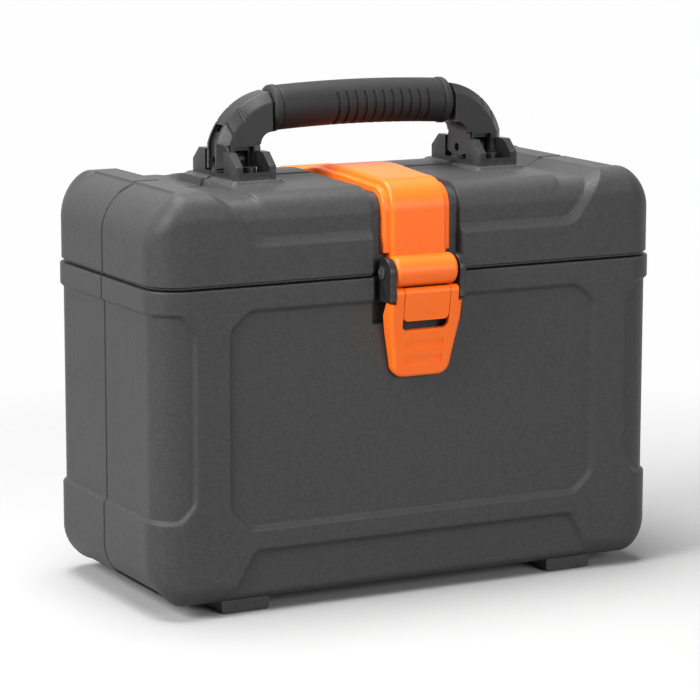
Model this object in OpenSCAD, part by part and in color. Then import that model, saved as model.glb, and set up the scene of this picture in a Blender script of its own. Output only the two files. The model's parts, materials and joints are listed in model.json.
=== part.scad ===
// Hard tool case with a hinged lid, a front draw latch on a lid strap and a carrying handle.
// Frame: millimetres, X to the right, the latch on the minus Y side, Z up from the floor.

/* [Case] */
// Width of the case, left to right
case_width = 330; // [300:5:380]
// Depth of the case, front to rear, without the latch and hinges
case_depth = 155; // [150:5:200]
// Height of the plane where the lid meets the body
seam_height = 189; // [185:1:230]
// Height of the lid above the plane where it meets the body
lid_height = 53; // [50:1:70]
// Height of the body's underside above the floor
ground_gap = 7; // [6:0.5:10]
// Thickness of the moulded walls
wall = 5.5; // [5:0.25:6.5]
// Rounding of the upright corners
corner_radius = 20; // [16:1:26]

/* [Front panel] */
// Half width of the recessed front panel
panel_half_width = 120.3; // [105:1:130]
// Depth of the recessed panels
panel_depth = 2; // [1:0.25:2.5]

/* [Latch] */
// Width of the strap with its side flanges
strap_width = 43.5; // [42:0.5:45]
// Radius of the strap's latch barrel
barrel_radius = 9.2; // [8.8:0.1:9.4]
// Length of the lever below its pivot
lever_length = 50.4; // [46:0.5:56]
// Travel of the slide button
slide_travel = 4.5; // [3:0.25:5]

/* [Handle] */
// Distance from the middle of the case to the middle of each bracket
bracket_offset = 80.3; // [76:0.5:100]
// Height of the handle pivot above the bracket pad
pivot_rise = 8.7; // [8.5:0.1:9.5]
// Diameter of the rubber grip
grip_diameter = 26.4; // [24:0.5:30]
// Height of the leg's outer arc above the handle pivot
leg_rise = 40; // [38:0.5:46]

/* [Hinges] */
// Distance from the middle of the case to the middle of each hinge
hinge_offset = 85; // [70:1:110]
// Diameter of the hinge pins
hinge_pin_diameter = 4; // [3.5:0.25:5]

/* [Hidden] */
$fn = 96;
eps = 0.01;
far = 400;

// Case levels and half sizes
half_w = case_width / 2;
half_d = case_depth / 2;
rim_gap = 0.4;
body_top = seam_height - rim_gap;
lid_bottom = seam_height + rim_gap;
lid_top = seam_height + lid_height;
lid_inset = 0.7;
lid_half_w = half_w - lid_inset;
lid_half_d = half_d - lid_inset;
flange_width = 13.5;
flange_height = 10;
plateau_top = lid_top - 2.5;
trough_top = lid_top - 5.2;
plateau_step = 0.6;
pad_top = lid_top + 0.3;
ceiling = lid_top - 8.2;
front_recess = 3;

// Strap channel and strap surfaces, measured inward from the lid's front plane and top
channel_half = strap_width / 2 + 6.95;
channel_depth_front = 6;
channel_floor_top = lid_top - 6.2;
channel_y = -lid_half_d + channel_depth_front;

// Latch axes
barrel_y = -half_d - 2.8;
barrel_z = seam_height + 2.5;
band_half = strap_width / 2 - 3.4;
barrel_half = strap_width / 2 - 1.75;
link_pin_radius = 3;
body_pocket_y = barrel_y + barrel_radius + 0.6;
lever_y = barrel_y - 5.2;
lever_z = barrel_z - 11.9;
lever_round = 3.4;
lever_tilt = 9.35;
ear_in = barrel_half + 0.7;
ear_out = ear_in + 4.3;
ear_bottom = lever_z - 5;
lever_strip_half = ear_in - 0.4;
window_half = ear_in - 5.5;
trunnion_radius = 1.8;
trunnion_end = ear_out - 2.1;
slide_round = 3;
slide_low = -13.1;
window_low = slide_low - slide_travel - 1;

// Feet
foot_x = half_w - 57.2;
foot_front = half_d - 7.5;
foot_screw_y = foot_front - 13;

// Recess outlines
lid_recess_half = half_w - 60;
plateau_half_low = lid_recess_half - 12;
low_recess_half = half_w - 60.4;
keeper_z = seam_height - 35;

// Handle levels
pivot_z = pad_top + pivot_rise;
grip_z = pivot_z + leg_rise - 11.2;
leg_half_w = 13.3;
leg_out = bracket_offset + 14.3;
grip_half = bracket_offset - 20;
bracket_half = 12.75;

// Hinge axis
hinge_y = half_d + 6.5;
hinge_z = seam_height;
knuckle_radius = 5.5;

// Flat outlines

module rounded_rect(w, h, r) {
    square([w - 2 * r, h], center = true);
    square([w, h - 2 * r], center = true);
    for (sx = [-1, 1], sy = [-1, 1])
        translate([sx * (w / 2 - r), sy * (h / 2 - r)])
            circle(r);
}

// Outline standing on low, reaching high, with its own radius below and above
module standing(w, low, high, r_low, r_high) {
    rl = max(r_low, eps);
    rh = max(r_high, eps);
    translate([-w / 2, low + rl])
        square([w, high - low - rl - rh]);
    translate([-w / 2 + rl, low])
        square([w - 2 * rl, rl + eps]);
    translate([-w / 2 + rh, high - rh - eps])
        square([w - 2 * rh, rh + eps]);
    if (r_low > 0)
        for (s = [-1, 1])
            translate([s * (w / 2 - rl), low + rl])
                circle(rl);
    if (r_high > 0)
        for (s = [-1, 1])
            translate([s * (w / 2 - rh), high - rh])
                circle(rh);
}

// Extrusions along X or Y, centred on the origin
module along_y(depth) {
    rotate([90, 0, 0])
        translate([0, 0, -depth / 2])
            linear_extrude(depth)
                children();
}

module along_x(width) {
    rotate([90, 0, 90])
        translate([0, 0, -width / 2])
            linear_extrude(width)
                children();
}

module rod_x(x0, x1, y, z, r) {
    translate([x0, y, z])
        rotate([0, 90, 0])
            cylinder(r = r, h = x1 - x0);
}

module rod_y(y0, y1, x, z, r) {
    translate([x, y1, z])
        rotate([90, 0, 0])
            cylinder(r = r, h = y1 - y0);
}

module block(x0, x1, y0, y1, z0, z1) {
    translate([x0, y0, z0])
        cube([x1 - x0, y1 - y0, z1 - z0]);
}

// Body and lid envelopes

module body_envelope(inset) {
    intersection() {
        translate([0, 0, ground_gap + inset])
            linear_extrude(body_top - ground_gap - inset)
                rounded_rect(case_width - 2 * inset, case_depth - 2 * inset, corner_radius - inset);
        along_y(far)
            standing(case_width - 2 * inset, ground_gap + inset, body_top + 50, 25 - inset, 0);
        along_x(2 * far)
            standing(case_depth - 2 * inset, ground_gap + inset, body_top + 50, 12 - inset, 0);
    }
}

module lid_envelope(top, inset_front, inset_side) {
    w = 2 * (lid_half_w - inset_side);
    d = 2 * (lid_half_d - inset_front);
    intersection() {
        translate([0, 0, lid_bottom])
            linear_extrude(top - lid_bottom)
                rounded_rect(w, d, corner_radius - max(inset_side, inset_front));
        along_y(far)
            standing(w, lid_bottom - 50, top, 0, 29 - inset_side);
        along_x(2 * far)
            standing(d, lid_bottom - 50, top, 0, 15 - inset_front / 2);
    }
}

// Groove round the outside where the front and rear half shells meet
module meeting_groove(low, high, r_low, r_high, w) {
    along_y(1)
        difference() {
            square(2 * far, center = true);
            standing(w - 1.6, low + 0.8, high - 0.8, r_low, r_high);
        }
}

module join_boss(s, z) {
    block_in = half_w - wall - 12;
    translate([s * (block_in + 6), 0, z])
        rotate([90, 0, 0])
            translate([0, 0, -12])
                cylinder(r = 6, h = 24);
    translate([s * (half_w - wall - 3), 0, z])
        cube([8, 24, 12], center = true);
}

module join_holes(s, z) {
    x = s * (half_w - wall - 6);
    rod_y(-11, 1, x, z, 2.05);
    rod_y(-1, 13, x, z, 2.2);
}

module join_screw(s, z) {
    x = s * (half_w - wall - 6);
    rod_y(-10, 12.5, x, z, 2);
    difference() {
        rod_y(12, 14.6, x, z, 4);
        rod_y(13.4, 15, x, z, 1.6);
    }
}

body_screw_low = ground_gap + 45;
body_screw_high = body_top - 40;
lid_screw_z = lid_bottom + 26;

module panel_outline(x, z0, z1, cut) {
    polygon([
        [-x, z0 + cut], [-x + cut, z0], [x - cut, z0], [x, z0 + cut],
        [x, z1 - cut], [x - cut, z1], [-x + cut, z1], [-x, z1 - cut]
    ]);
}

module corner_outline() {
    top = body_top - 12.8;
    x = panel_half_width + 20.2;
    polygon([
        [x + 9.7, 56.5], [x, 67], [x, top - 12], [x + 8.5, top],
        [half_w + 20, top], [half_w + 20, 55]
    ]);
}

// Recess between the panel and the floor, round the feet
module low_recess_outline() {
    x = low_recess_half;
    polygon([[-x - 13.4, 0], [-x - 11.4, 20], [-x, 37.6], [x, 37.6], [x + 11.4, 20], [x + 13.4, 0]]);
}

module body_whole() {
    top = body_top - 12.8;
    difference() {
        union() {
            difference() {
                body_envelope(0);
                // Inside space below the rim flange, then the mouth through the flange
                intersection() {
                    body_envelope(wall);
                    block(-far, far, -far, far, 0, body_top - flange_height);
                }
                translate([0, 0, body_top - flange_height - 1])
                    linear_extrude(flange_height + 2)
                        rounded_rect(
                            case_width - 2 * flange_width,
                            case_depth - 2 * flange_width,
                            corner_radius - wall - 2
                        );
            }
            // Thicker wall behind the latch pocket
            block(
                -channel_half - 5, channel_half + 5, body_pocket_y - 4, body_pocket_y + wall,
                body_top - 34, body_top - flange_height + 1
            );
            for (s = [-1, 1], z = [body_screw_low, body_screw_high])
                join_boss(s, z);
            body_knuckles();
        }
        // Recesses round the upright corners, from front to rear across the sides
        for (s = [0, 1])
            mirror([s, 0, 0])
                intersection() {
                    difference() {
                        cube([2 * far, 2 * far, 2 * far], center = true);
                        translate([0, 0, -far])
                            linear_extrude(2 * far)
                                rounded_rect(
                                    case_width - 2 * panel_depth,
                                    case_depth - 2 * panel_depth,
                                    corner_radius - panel_depth
                                );
                    }
                    along_y(2 * half_d + 20)
                        corner_outline();
                }
        // Recessed panels and lower recesses, front and rear
        for (s = [0, 1])
            mirror([0, s, 0]) {
                translate([0, -half_d, 0])
                    along_y(2 * panel_depth)
                        panel_outline(panel_half_width, 48.6, top, 12);
                translate([0, -half_d, 0])
                    along_y(5)
                        low_recess_outline();
            }
        // Latch pocket, open upward
        block(-channel_half, channel_half, -half_d - 10, body_pocket_y, body_top - 27, body_top + 10);
        block(-channel_half, channel_half, -half_d - 10, -half_d + panel_depth, body_top - 29, body_top + 10);
        meeting_groove(ground_gap, body_top + 20, 25, 0, case_width);
        for (s = [-1, 1], z = [body_screw_low, body_screw_high])
            join_holes(s, z);
        for (sx = [-1, 1], sy = [-1, 1])
            translate([sx * foot_x, sy * foot_screw_y, 0])
                cylinder(r = 2.05, h = ground_gap + wall - 0.8);
        for (s = [-1, 1])
            rod_y(-half_d, -half_d + wall - 0.8, s * 8, keeper_z - 4, 1.55);
        hinge_bores();
    }
}

// Hinges

module body_knuckles() {
    for (s = [-1, 1], e = [-1, 1]) {
        x = s * hinge_offset + e * 15;
        rod_x(x - 5, x + 5, hinge_y, hinge_z, knuckle_radius);
        block(x - 5, x + 5, half_d - 2, hinge_y, hinge_z - 14, hinge_z - 1);
        translate([x, hinge_y, hinge_z])
            rotate([0, 90, 0])
                cylinder(r = knuckle_radius, h = 10, center = true);
    }
}

module hinge_bores() {
    for (s = [-1, 1])
        rod_x(s * hinge_offset - 21, s * hinge_offset + 21, hinge_y, hinge_z, hinge_pin_diameter / 2 + 0.02);
}

module lid_knuckles() {
    for (s = [-1, 1]) {
        x = s * hinge_offset;
        difference() {
            union() {
                rod_x(x - 9.6, x + 9.6, hinge_y, hinge_z, knuckle_radius);
                block(x - 9.6, x + 9.6, half_d - 3, hinge_y, hinge_z + 1, hinge_z + 9);
            }
            rod_x(x - 11, x + 11, hinge_y, hinge_z, hinge_pin_diameter / 2 + 0.06);
        }
    }
}

module hinge_pin(s) {
    x = s * hinge_offset;
    color("silver")
        rod_x(x - 19.6, x + 19.6, hinge_y, hinge_z, hinge_pin_diameter / 2);
}

// Half shells

module front_half() {
    intersection() {
        children();
        block(-far, far, -far, 0, -1, far);
    }
}

module rear_half() {
    intersection() {
        children();
        block(-far, far, 0, far, -1, far);
    }
}

module body_front_shell() {
    color("dimgray")
        front_half()
            body_whole();
}

module body_rear_shell() {
    color("dimgray")
        rear_half()
            body_whole();
}

// Lid

module lid_recess_outline() {
    polygon([
        [-lid_recess_half, lid_top - 31], [-lid_recess_half - 24, lid_top + 1], [-half_w, lid_top + 40],
        [half_w, lid_top + 40], [lid_recess_half + 24, lid_top + 1], [lid_recess_half, lid_top - 31]
    ]);
}

module plateau_outline() {
    polygon([
        [-plateau_half_low, lid_top - 15.5], [-lid_recess_half, lid_top + 1],
        [lid_recess_half, lid_top + 1], [plateau_half_low, lid_top - 15.5]
    ]);
}

module lid_relief() {
    difference() {
        along_y(far)
            lid_recess_outline();
        along_x(2 * far)
            standing(2 * (lid_half_d - front_recess), 0, trough_top, 0, 12);
        intersection() {
            along_x(2 * far)
                standing(2 * (lid_half_d - front_recess + plateau_step), 0, plateau_top, 0, 15);
            along_y(far)
                plateau_outline();
        }
    }
}

module strap_channel() {
    difference() {
        block(-channel_half, channel_half, -far, far, lid_bottom - 20, far);
        along_x(2 * far)
            standing(2 * (lid_half_d - channel_depth_front), 0, channel_floor_top, 0, 10);
    }
}

module lid_whole() {
    difference() {
        union() {
            difference() {
                lid_envelope(lid_top, 0, 0);
                difference() {
                    intersection() {
                        lid_envelope(ceiling, wall, wall);
                        block(-far, far, -far, far, lid_bottom + flange_height, far);
                    }
                    // Thicker roof and ends round the strap channel
                    block(-channel_half - 5, channel_half + 5, -far, far, channel_floor_top - 5, far);
                    for (s = [-1, 1])
                        translate([0, s * (lid_half_d - 5.5), lid_bottom + 30])
                            cube([2 * channel_half + 10, 13, 80], center = true);
                }
                translate([0, 0, lid_bottom - 1])
                    linear_extrude(flange_height + 2)
                        rounded_rect(
                            case_width - 2 * flange_width,
                            case_depth - 2 * flange_width,
                            corner_radius - wall - 2
                        );
                lid_relief();
            }
            for (s = [-1, 1])
                join_boss(s, lid_screw_z);
            lid_knuckles();
            bracket_pads();
        }
        strap_channel();
        seal_ring(5.2, lid_bottom - 1, lid_bottom + 2.3);
        meeting_groove(lid_bottom - 20, lid_top, 0, 29, 2 * lid_half_w);
        for (s = [-1, 1])
            join_holes(s, lid_screw_z);
        for (sx = [-1, 1], sy = [-1, 1])
            translate([sx * bracket_offset, sy * 20.5, ceiling - 1])
                cylinder(r = 2.1, h = 20);
        for (s = [-1, 1])
            rod_y(lid_half_d - 16, lid_half_d, s * 10, strap_screw_z, 1.55);
    }
}

module bracket_pads() {
    for (s = [-1, 1])
        translate([s * bracket_offset, 0, pad_top - 3.5])
            cube([2 * bracket_half + 8, 66, 7], center = true);
}

module lid_front_shell() {
    color("dimgray")
        front_half()
            lid_whole();
}

module lid_rear_shell() {
    color("dimgray")
        rear_half()
            lid_whole();
}

module seal_ring(w, z0, z1) {
    mid = 10;
    translate([0, 0, z0])
        linear_extrude(z1 - z0)
            difference() {
                rounded_rect(case_width - 2 * mid + w - 2, case_depth - 2 * mid + w - 2, corner_radius - 7);
                rounded_rect(case_width - 2 * mid - w + 2, case_depth - 2 * mid - w + 2, corner_radius - 9);
            }
}

module lid_seal() {
    color("black")
        seal_ring(5.1, lid_bottom - 0.7, lid_bottom + 2.3);
}

// Screws and rivets

module body_screw_upper_left() {
    color("silver") join_screw(-1, body_screw_high);
}

module body_screw_upper_right() {
    color("silver") join_screw(1, body_screw_high);
}

module body_screw_lower_left() {
    color("silver") join_screw(-1, body_screw_low);
}

module body_screw_lower_right() {
    color("silver") join_screw(1, body_screw_low);
}

module lid_screw_left() {
    color("silver") join_screw(-1, lid_screw_z);
}

module lid_screw_right() {
    color("silver") join_screw(1, lid_screw_z);
}

module hinge_pin_left() {
    hinge_pin(-1);
}

module hinge_pin_right() {
    hinge_pin(1);
}

// Feet

module foot(sx, sy) {
    color("dimgray")
        difference() {
            intersection() {
                translate([sx * foot_x, sy * (foot_front - 13), 0])
                    along_y(26)
                        standing(30, 0, ground_gap + 6, 2.5, 0);
                block(-far, far, -far, far, 0, ground_gap + 4);
            }
            body_envelope(-0.05);
            translate([sx * foot_x, sy * foot_screw_y, -1])
                cylinder(r = 4.4, h = 4.2);
            translate([sx * foot_x, sy * foot_screw_y, 1])
                cylinder(r = 2.2, h = 12);
        }
}

module foot_screw(sx, sy) {
    color("silver")
        translate([sx * foot_x, sy * foot_screw_y, 0])
            difference() {
                union() {
                    translate([0, 0, 0.8])
                        cylinder(r = 4, h = 2.4);
                    translate([0, 0, 3])
                        cylinder(r = 2, h = ground_gap + wall - 4.8);
                }
                translate([0, 0, 0])
                    cylinder(r = 1.6, h = 2);
            }
}

module foot_front_left() {
    foot(-1, -1);
}

module foot_front_right() {
    foot(1, -1);
}

module foot_rear_left() {
    foot(-1, 1);
}

module foot_rear_right() {
    foot(1, 1);
}

module foot_screw_front_left() {
    foot_screw(-1, -1);
}

module foot_screw_front_right() {
    foot_screw(1, -1);
}

module foot_screw_rear_left() {
    foot_screw(-1, 1);
}

module foot_screw_rear_right() {
    foot_screw(1, 1);
}

// Keeper on the body front, behind the lever

keeper_y = -half_d + panel_depth;

module latch_keeper() {
    color("silver")
        difference() {
            union() {
                block(-13, 13, keeper_y - 1.5, keeper_y, keeper_z - 8, keeper_z + 1.5);
                block(-13, 13, keeper_y - 3.8, keeper_y, keeper_z - 1.5, keeper_z + 1.5);
            }
            for (s = [-1, 1])
                rod_y(-half_d - 5, -half_d + 5, s * 8, keeper_z - 4, 1.6);
        }
}

module keeper_rivet(s) {
    color("silver") {
        rod_y(keeper_y - 1.5, keeper_y + 2, s * 8, keeper_z - 4, 1.5);
        rod_y(keeper_y - 2.3, keeper_y - 1.5, s * 8, keeper_z - 4, 2.3);
    }
}

module keeper_rivet_left() {
    keeper_rivet(-1);
}

module keeper_rivet_right() {
    keeper_rivet(1);
}

// Strap over the lid

strap_end = lid_bottom + 4;
strap_screw_z = lid_bottom + 14;
// How far the side flanges and the middle band stand off the channel floor
flange_rise = 4;
band_rise = 7.3;

module strap_layer(half, rise, low_front, low_rear) {
    difference() {
        intersection() {
            along_x(2 * half)
                standing(
                    2 * (lid_half_d - channel_depth_front + rise),
                    0, channel_floor_top + rise, 0, 10 + rise
                );
            union() {
                block(-half, half, -far, 0, low_front, far);
                block(-half, half, -eps, far, low_rear, far);
            }
        }
        along_x(2 * half + 2)
            standing(2 * (lid_half_d - channel_depth_front), 0, channel_floor_top, 0, 10);
    }
}

module latch_strap() {
    color("darkorange")
        difference() {
            union() {
                strap_layer(strap_width / 2, flange_rise, barrel_z + 10.2, strap_end);
                strap_layer(band_half, band_rise, barrel_z, strap_end);
                rod_x(-barrel_half, barrel_half, barrel_y, barrel_z, barrel_radius);
            }
            rod_x(-barrel_half - 1, barrel_half + 1, barrel_y, barrel_z, link_pin_radius + 0.02);
            for (s = [-1, 1])
                rod_y(lid_half_d - 16, lid_half_d + 3, s * 10, strap_screw_z, 1.6);
        }
}

module strap_screw(s) {
    y = lid_half_d - channel_depth_front + band_rise;
    color("silver")
        difference() {
            union() {
                rod_y(y - 15.3, y, s * 10, strap_screw_z, 1.5);
                rod_y(y, y + 1.8, s * 10, strap_screw_z, 3);
            }
            rod_y(y + 0.9, y + 3, s * 10, strap_screw_z, 1.2);
        }
}

module strap_screw_left() {
    strap_screw(-1);
}

module strap_screw_right() {
    strap_screw(1);
}

module latch_pin() {
    color("black") {
        rod_x(-ear_out - 0.2, ear_out + 0.2, barrel_y, barrel_z, link_pin_radius);
        for (s = [-1, 1])
            translate([s * (ear_out + 0.65), barrel_y, barrel_z])
                rotate([0, 90, 0])
                    cylinder(r = 3.6, h = 0.9, center = true);
    }
}

// Link with its two ears

module ear_profile() {
    difference() {
        union() {
            translate([barrel_y, barrel_z])
                circle(8.8);
            translate([barrel_y - 8.8, ear_bottom])
                square([17.1, barrel_z - ear_bottom]);
        }
        // Lower front corner rounded about the lever's own axis
        difference() {
            translate([lever_y - 8, lever_z - 12])
                square([8, 12]);
            translate([lever_y, lever_z])
                circle(5.1);
        }
    }
}

module latch_link() {
    color("black")
        difference() {
            union() {
                for (s = [-1, 1])
                    translate([s * (ear_in + ear_out) / 2, 0, 0])
                        along_x(ear_out - ear_in)
                            ear_profile();
                block(-ear_in - 1, ear_in + 1, lever_y + 5.5, lever_y + 8.5, ear_bottom + 0.4, ear_bottom + 5.4);
            }
            rod_x(-ear_out - 1, ear_out + 1, barrel_y, barrel_z, link_pin_radius + 0.06);
            rod_x(-trunnion_end - 0.3, trunnion_end + 0.3, lever_y, lever_z, trunnion_radius + 0.06);
        }
}

// Lever, drawn along its own axes and then tilted toward the body

module lever_frame() {
    translate([0, lever_y, lever_z])
        rotate([lever_tilt, 0, 0])
            children();
}

module lever_outline(inset) {
    bottom = -lever_length + inset;
    half_top = ear_out - 1.5 - inset;
    half_low = ear_out - 6 - inset;
    r = 8 - inset;
    polygon([
        [-half_top, -5.6 - inset], [-half_top, -15], [-half_low, bottom + r],
        [half_low, bottom + r], [half_top, -15], [half_top, -5.6 - inset]
    ]);
    translate([-half_low + r, bottom])
        square([2 * (half_low - r), r + 1]);
    for (s = [-1, 1])
        translate([s * (half_low - r), bottom + r])
            circle(r);
}

module lever_side_profile() {
    polygon([
        [-lever_round, -5.6], [-lever_round, -lever_length - 1], [1.2, -lever_length - 1],
        [5.2, -25], [5.4, -14], [3, -6.2]
    ]);
}

module window_outline() {
    corner = window_half - slide_round;
    translate([-window_half, window_low])
        square([2 * window_half, 40]);
    translate([-corner, window_low - slide_round])
        square([2 * corner, slide_round + 1]);
    for (s = [-1, 1])
        translate([s * corner, window_low])
            circle(slide_round);
}

module latch_lever() {
    color("darkorange")
        lever_frame()
            difference() {
                union() {
                    intersection() {
                        along_y(40)
                            lever_outline(0);
                        along_x(60)
                            lever_side_profile();
                    }
                    // Strips between the ears, rounded about the pivot
                    for (s = [-1, 1])
                        translate([s * (window_half + lever_strip_half) / 2, 0, 0])
                            along_x(lever_strip_half - window_half) {
                                circle(lever_round);
                                polygon([[-lever_round, 0], [-lever_round, -8], [3, -8], [3, 0]]);
                            }
                    rod_x(-trunnion_end, -window_half - 2.8, 0, 0, trunnion_radius);
                    rod_x(window_half + 2.8, trunnion_end, 0, 0, trunnion_radius);
                    // Hook that stands in front of the keeper
                    block(-12, 12, -1, 1.6, -33, -29);
                }
                // Hollow back, window and grip bars
                difference() {
                    along_y(40)
                        intersection() {
                            lever_outline(2.5);
                            translate([-30, -lever_length])
                                square([60, lever_length - 9]);
                        }
                    block(-40, 40, -20, -lever_round + 3, -80, 20);
                    block(-12, 12, -4, 1.6, -33, -29);
                }
                along_y(20)
                    window_outline();
                for (z = [-30.8, -40.3])
                    block(-12.5, 12.5, -10, -lever_round + 0.9, z - 2.75, z + 2.75);
            }
}

module latch_slide() {
    half = window_half - 0.5;
    color("darkorange")
        lever_frame()
            union() {
                intersection() {
                    along_y(20) {
                        translate([-half, slide_low])
                            square([2 * half, 20]);
                        translate([-half + slide_round, slide_low - slide_round])
                            square([2 * (half - slide_round), slide_round + 1]);
                        for (s = [-1, 1])
                            translate([s * (half - slide_round), slide_low])
                                circle(slide_round);
                    }
                    along_x(60) {
                        circle(lever_round - 0.2);
                        translate([-lever_round + 0.2, -20])
                            square([3, 20]);
                    }
                }
                // Guide plate behind the window and the catch behind it
                block(-17.5, 17.5, -0.2, 1.4, -16, -9.6);
                block(-6, 6, 1.2, 7.4, -12, -9.6);
            }
}

// Handle

module bracket_cheek() {
    polygon([
        [-29.5, 0], [-29.5, 7.5], [-21, 14.9], [-12.5, 14.9], [-12.5, 0]
    ]);
}

module handle_bracket(s) {
    x = s * bracket_offset;
    h = pad_top;
    color("black")
        difference() {
            union() {
                block(x - bracket_half, x + bracket_half, -29.5, 29.5, h, h + 2.4);
                for (m = [0, 1], e = [-1, 1])
                    mirror([0, m, 0])
                        translate([x + e * (bracket_half - 2.2), 0, h])
                            along_x(4.4)
                                bracket_cheek();
                for (m = [0, 1])
                    mirror([0, m, 0]) {
                        block(x - bracket_half, x + bracket_half, -29.5, -26.5, h, h + 4);
                        translate([x, -20.5, h])
                            cylinder(r = 3.8, h = 6.6);
                    }
                // Middle upstand that carries the pivot
                block(x - 4.7, x + 4.7, -5.4, 5.4, h, pivot_z);
                rod_x(x - 4.7, x + 4.7, 0, pivot_z, 5.6);
            }
            rod_x(x - 6, x + 6, 0, pivot_z, 2.56);
            for (m = [-1, 1])
                translate([x, m * 20.5, h - 1])
                    cylinder(r = 2.05, h = 6.6);
        }
}

module handle_bracket_left() {
    handle_bracket(-1);
}

module handle_bracket_right() {
    handle_bracket(1);
}

module bracket_screw(sx, sy) {
    color("silver")
        translate([sx * bracket_offset, sy * 20.5, 0])
            difference() {
                union() {
                    translate([0, 0, ceiling - 2.4])
                        cylinder(r = 3.8, h = 2.4);
                    translate([0, 0, ceiling - 0.5])
                        cylinder(r = 2, h = pad_top + 5 - ceiling);
                }
                translate([0, 0, ceiling - 3])
                    cylinder(r = 1.6, h = 1.8);
            }
}

module bracket_screw_front_left() {
    bracket_screw(-1, -1);
}

module bracket_screw_front_right() {
    bracket_screw(1, -1);
}

module bracket_screw_rear_left() {
    bracket_screw(-1, 1);
}

module bracket_screw_rear_right() {
    bracket_screw(1, 1);
}

// Outline of the right leg in the XZ plane: outer arc, inner arc, foot
module leg_outline(outer) {
    cx = bracket_offset - 26;
    cz = pivot_z + leg_rise - 42;
    difference() {
        intersection() {
            translate([cx, cz])
                circle(42 - outer, $fn = 128);
            translate([bracket_offset - 17.8, pivot_z - 5.7])
                square([leg_out - outer - (bracket_offset - 17.8), 80]);
        }
        translate([bracket_offset - 24.6, pivot_z + 3.4])
            circle(12.8);
        translate([bracket_offset - 60, pivot_z - 40])
            square([48.2, 43.4]);
    }
}

module leg_body() {
    difference() {
        union() {
            // Stepped sides: full outline in the middle, smaller outline out to the faces
            along_y(13)
                leg_outline(0);
            along_y(18.6)
                leg_outline(2.8);
            along_y(24)
                leg_outline(5.6);
        }
        // Arch that clears the bracket's posts when the handle leans, round a hub between them
        difference() {
            rod_x(0, 200, 0, pivot_z, 15.7);
            rod_x(0, 200, 0, pivot_z, 12.2);
            block(bracket_offset - 7.6, bracket_offset + 7.6, -30, 30, 0, 400);
        }
        // Foot kept above the bracket's base
        difference() {
            block(0, 200, -30, 30, pivot_z - 40, pivot_z - 0.8);
            rod_x(bracket_offset - 7.6, bracket_offset + 7.6, 0, pivot_z, 5.7);
        }
        // Slot over the upstand, with a taller recess at each face
        block(bracket_offset - 5, bracket_offset + 5, -30, 30, pivot_z - 20, pivot_z + 6.1);
        for (s = [-1, 1])
            translate([bracket_offset, s * 11, pivot_z + 4])
                cube([10, 6, 9.4], center = true);
        rod_x(0, 200, 0, pivot_z, 2.52);
        // Pocket in the outer side
        translate([leg_out, 0, pivot_z + 14])
            cube([7, 9, 17], center = true);
        rod_x(0, bracket_offset - 6, 0, grip_z, 5.02);
    }
}

module handle_leg_right() {
    color("black")
        leg_body();
}

module handle_leg_left() {
    color("black")
        mirror([1, 0, 0])
            leg_body();
}

module handle_pin(s) {
    color("silver")
        rod_x(s * bracket_offset - 7.5, s * bracket_offset + 7.5, 0, pivot_z, 2.5);
}

module handle_pin_left() {
    handle_pin(-1);
}

module handle_pin_right() {
    handle_pin(1);
}

module handle_core() {
    color("silver")
        rod_x(-bracket_offset + 7, bracket_offset - 7, 0, grip_z, 5);
}

grip_bow = 2;
bow_radius = (grip_half * grip_half + grip_bow * grip_bow) / (2 * grip_bow);

module handle_grip() {
    r = grip_diameter / 2;
    color("black")
        difference() {
            union() {
                intersection() {
                    translate([0, 0, grip_z + grip_bow - bow_radius])
                        rotate([90, 0, 0])
                            rotate_extrude($fn = 128)
                                translate([bow_radius, 0])
                                    circle(r);
                    block(-grip_half, grip_half, -40, 40, grip_z - 40, grip_z + 40);
                }
                for (s = [-1, 1])
                    translate([s * (grip_half - 3), 0, grip_z + 0.2])
                        rotate([0, 90, 0])
                            cylinder(r = r + 0.6, h = 6, center = true);
            }
            rod_x(-grip_half - 1, grip_half + 1, 0, grip_z, 5.05);
            for (x = [-18, -12, -6, 0, 6, 12, 18, 24, 30, 36, 42])
                translate([x, 0, grip_z + grip_bow - 0.3])
                    rotate([0, 90, 0])
                        difference() {
                            cylinder(r = r + 6, h = 1.4, center = true);
                            cylinder(r = r - 0.9, h = 2, center = true);
                        }
        }
}

// Drawing

body_front_shell();
body_rear_shell();
body_screw_upper_left();
body_screw_upper_right();
body_screw_lower_left();
body_screw_lower_right();
foot_front_left();
foot_front_right();
foot_rear_left();
foot_rear_right();
foot_screw_front_left();
foot_screw_front_right();
foot_screw_rear_left();
foot_screw_rear_right();
latch_keeper();
keeper_rivet_left();
keeper_rivet_right();
hinge_pin_left();
hinge_pin_right();
lid_front_shell();
lid_rear_shell();
lid_screw_left();
lid_screw_right();
lid_seal();
latch_strap();
strap_screw_left();
strap_screw_right();
latch_pin();
handle_bracket_left();
handle_bracket_right();
bracket_screw_front_left();
bracket_screw_front_right();
bracket_screw_rear_left();
bracket_screw_rear_right();
handle_leg_left();
handle_leg_right();
handle_core();
handle_grip();
handle_pin_left();
handle_pin_right();
latch_link();
latch_lever();
latch_slide();
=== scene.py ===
"""Hard tool case: the finish, moulded shells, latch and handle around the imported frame."""

import json
import logging
import math
from contextlib import contextmanager
from dataclasses import dataclass
from enum import Enum
from functools import cached_property
from typing import Callable, Iterator, Optional, Sequence

import bmesh
import bpy
import numpy as np
from mathutils import Matrix, Vector


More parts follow.
